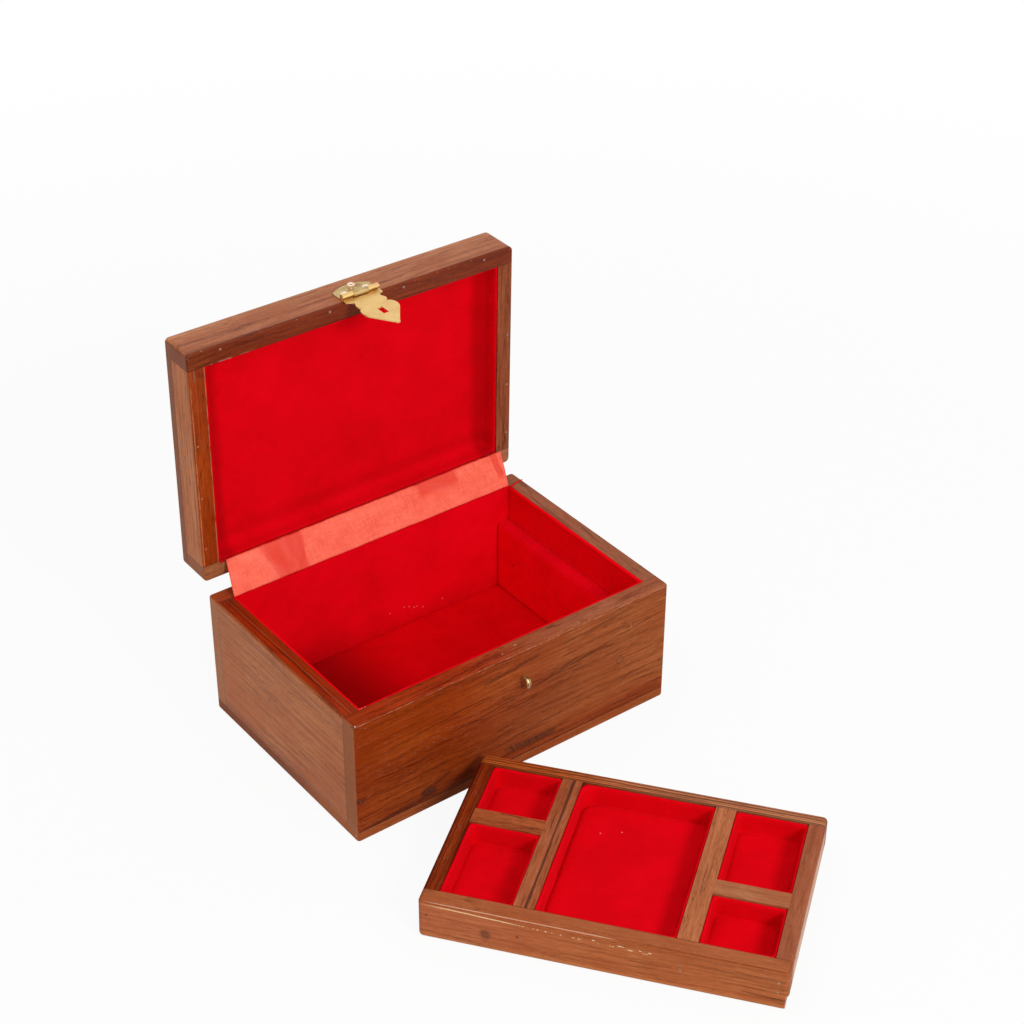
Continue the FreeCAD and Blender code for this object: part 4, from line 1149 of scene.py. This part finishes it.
def screw_tree():
    """Geometry nodes: a countersunk screw with a slot on each point, turned by a seed."""
    tree = bpy.data.node_groups.new("slotted_screws", "GeometryNodeTree")
    nodes = Nodes(tree)
    kinds = {"Points": "Geometry", **dict.fromkeys(SCREW_SIZES, "Float")}
    for name, kind in {**kinds, "Seed": "Int", "Metal": "Material"}.items():
        tree.interface.new_socket(name, in_out="INPUT", socket_type="NodeSocket" + kind)
    tree.interface.new_socket("Screws", in_out="OUTPUT", socket_type="NodeSocketGeometry")
    points = nodes.node("NodeGroupInput")
    head_radius, shank_radius, depth, length, slot = (points.beside(name) for name in SCREW_SIZES)

    def vector(x=0, y=0, z=0):
        return nodes.node("ShaderNodeCombineXYZ", None, {0: x, 1: y, 2: z})

    def shape(kind, moved=None, settings=None, **values):
        named = {key.replace("_", " "): value for key, value in values.items()}
        made = nodes.node("GeometryNode" + kind, settings, named)
        if moved is None:
            return made
        values = {"Geometry": made, "Translation": vector(z=moved)}
        return nodes.node("GeometryNodeTransform", None, values)

    sink = depth * -1
    radii = {"Radius_Top": head_radius, "Radius_Bottom": shank_radius}
    head = shape("MeshCone", sink, Vertices=28, Depth=depth, **radii)
    bar = shape("MeshCube", Size=vector(head_radius * 2.4, slot, depth))
    cut = {"operation": "DIFFERENCE", "solver": "FLOAT"}
    head = shape("MeshBoolean", None, cut, Mesh_1=head, Mesh_2=bar)
    low = length * -0.5 + sink
    shank = shape("MeshCylinder", low, Vertices=16, Radius=shank_radius, Depth=length)
    screw = nodes.node("GeometryNodeJoinGeometry", None, {0: [head, shank]})
    seed = {"Seed": points.beside("Seed"), 3: 3.1}
    turn = nodes.node("FunctionNodeRandomValue", {"data_type": "FLOAT"}, seed, 1)
    stood = shape("InstanceOnPoints", Points=points, Instance=screw, Rotation=vector(z=turn))
    solid = nodes.node("GeometryNodeRealizeInstances", None, {0: stood})
    painted = shape("SetMaterial", Geometry=solid, Material=points.beside("Metal"))
    nodes.node("NodeGroupOutput", None, {"Screws": painted})
    return tree


def hinge_screws():
    tree = screw_tree()
    metal = brass("hinge_screw_brass", BASE, *HINGE, 0.6, 6)
    names = {item.name: item.identifier for item in tree.interface.items_tree}
    over = Matrix.Translation((0, 0, 2 * HINGE_Z)) @ Matrix.Rotation(math.pi, 4, "Y")
    for body, seed in (("base", 3), ("lid", 8)):
        across = [side * HINGE_X + end * SCREW_STEP for side in (-1, 1) for end in (-1, 1)]
        points = [(x, HINGE_Y - SCREW_BACK, SCREW_Z) for x in across]
        mesh = bpy.data.meshes.new("screw_points")
        mesh.from_pydata(points, [], [])
        holder = stand("screw_points", mesh)
        maker = holder.modifiers.new("screws", "NODES")
        maker.node_group = tree
        for name, value in {**SCREW_SIZES, "Metal": metal, "Seed": seed}.items():
            maker[names[name]] = value
        ready = holder.evaluated_get(bpy.context.evaluated_depsgraph_get())
        solid = bpy.data.meshes.new_from_object(ready)
        bpy.data.objects.remove(holder)
        shift = Matrix.Identity(4) if body == "base" else LID.rest @ over
        solid.transform(Matrix.Scale(MM, 4) @ shift)
        screws = stand("hinge_%s_screw_set" % body, solid)
        settle(screws, body, "brass_hinge", "hinge_%s_screws" % body)


# ---- finishes on the solids
def dress(node, material):
    """Give a solid one material and leave its shape alone."""
    mesh = bpy.data.objects[node].data
    if mesh.materials:
        for i in range(len(mesh.materials)):
            mesh.materials[i] = material
    else:
        mesh.materials.append(material)


def dress_solids():
    for body, boards in TEAK_BOARDS.items():
        for board, facts in boards.items():
            node = "%s_%s" % (body, board)
            dress(node, teak("teak_" + node, body, *facts))
    hinges = ["hinge_%s_%s" % (side, part) for side in ("left", "right") for part in HINGE_PARTS]
    for metal, *nodes in (
        (brass("strap_brass", LID, *STRAP, 0.12, 2, 0.34), "hasp_strap"),
        (brass("plate_brass", LID, *PLATE, 0.35, 3, 0.44, plate_marks), "hasp_plate", "hasp_pin"),
        (brass("rivet_brass", LID, *RIVET, 0.2, 5), "hasp_rivets"),
        (brass("hinge_brass", BASE, *HINGE, 0.6, 9), *hinges),
        (brass("knob_brass", BASE, *KNOB, 0.5, 4, 0.34, knob_marks), "turn_knob", "knob_rove"),
        (steel("brad_steel", LID, -118), "lid_brads"),
        (steel("nail_steel", TRAY, -20), "tray_nails"),
    ):
        for node in nodes:
            dress(node, metal)


# ---- stage, lamps and camera
FLOOR_REACH = 30
ROOM_LIGHT, KEY_WATTS, OVERHEAD_WATTS = 0.58, 34, 10
LAMP_AIM, KEY_PLACE, OVERHEAD_PLACE = (0, -0.1, 0.1), (0, -2.25, 1.55), (-0.9, 0.3, 2.4)
SENSOR_WIDTH, LENS = 36, 76.742
VIEW_PLACE = (-0.68199, -0.97469, 0.94449)
VIEW_YAW, VIEW_PITCH, VIEW_ROLL = 37.312, 33.517, 0.308


def set_stage():
    """A floor that is pale where the box stands and as white as the room far out."""
    finish = Finish("studio_floor")
    diffuse = finish.node("ShaderNodeBsdfDiffuse", None, {"Color": (0.8, 0.8, 0.8)})
    glow = finish.node("ShaderNodeEmission", None, {"Color": (1, 1, 1), "Strength": 1})
    x, y, _ = finish.drawn(BASE)
    far = (x * x + y * y).root().rise(400, 1400)
    shaders = {0: finish.seen() * (0.92 + far * 0.08), 1: diffuse, 2: glow}
    both = finish.node("ShaderNodeMixShader", None, shaders)
    finish.node("ShaderNodeOutputMaterial", None, {0: both})
    mesh = bpy.data.meshes.new("studio_floor")
    corners = ((-1, -1), (1, -1), (1, 1), (-1, 1))
    corners = [(sx * FLOOR_REACH, sy * FLOOR_REACH, 0) for sx, sy in corners]
    mesh.from_pydata(corners, [], [(0, 1, 2, 3)])
    mesh.materials.append(finish.material)
    stand("studio_floor", mesh)


def lamp(name, place, size, watts):
    data = bpy.data.lights.new(name, "AREA")
    data.shape = "DISK"
    data.size = size
    data.energy = watts
    turn = (Vector(LAMP_AIM) - Vector(place)).to_track_quat("-Z", "Y").to_matrix().to_4x4()
    stand(name, data).matrix_world = Matrix.Translation(place) @ turn


def light_stage():
    """Grey room light, seen as white; a soft key from the front and a broad light overhead."""
    world = bpy.data.worlds.new("studio")
    bpy.context.scene.world = world
    world.use_nodes = True
    nodes = Nodes(world.node_tree)
    backs = [{"Color": (1, 1, 1), "Strength": strength} for strength in (ROOM_LIGHT, 1)]
    grey, white = (nodes.node("ShaderNodeBackground", None, values) for values in backs)
    both = nodes.node("ShaderNodeMixShader", None, {0: nodes.seen(), 1: grey, 2: white})
    nodes.node("ShaderNodeOutputWorld", None, {0: both})
    lamp("key", KEY_PLACE, 0.7, KEY_WATTS)
    lamp("overhead", OVERHEAD_PLACE, 1.8, OVERHEAD_WATTS)


def set_camera():
    data = bpy.data.cameras.new("view")
    data.sensor_width = SENSOR_WIDTH
    data.lens = LENS
    yaw, pitch, roll = (math.radians(a) for a in (VIEW_YAW, VIEW_PITCH, VIEW_ROLL))
    level = Vector((math.sin(yaw), math.cos(yaw), 0))
    ahead = level * math.cos(pitch) - Vector((0, 0, math.sin(pitch)))
    right = Vector((math.cos(yaw), -math.sin(yaw), 0))
    up = right.cross(ahead)
    right_rolled = right * math.cos(roll) + up * math.sin(roll)
    up_rolled = up * math.cos(roll) - right * math.sin(roll)
    turn = Matrix((right_rolled, up_rolled, -ahead)).transposed().to_4x4()
    camera = stand("view", data)
    camera.matrix_world = Matrix.Translation(VIEW_PLACE) @ turn
    bpy.context.scene.camera = camera


dress_solids()
line_base()
line_lid()
line_tray()
satin_strip()
hinge_screws()
set_stage()
light_stage()
set_camera()
bpy.context.scene.view_settings.view_transform = "Standard"

bpy.context.view_layer.update()
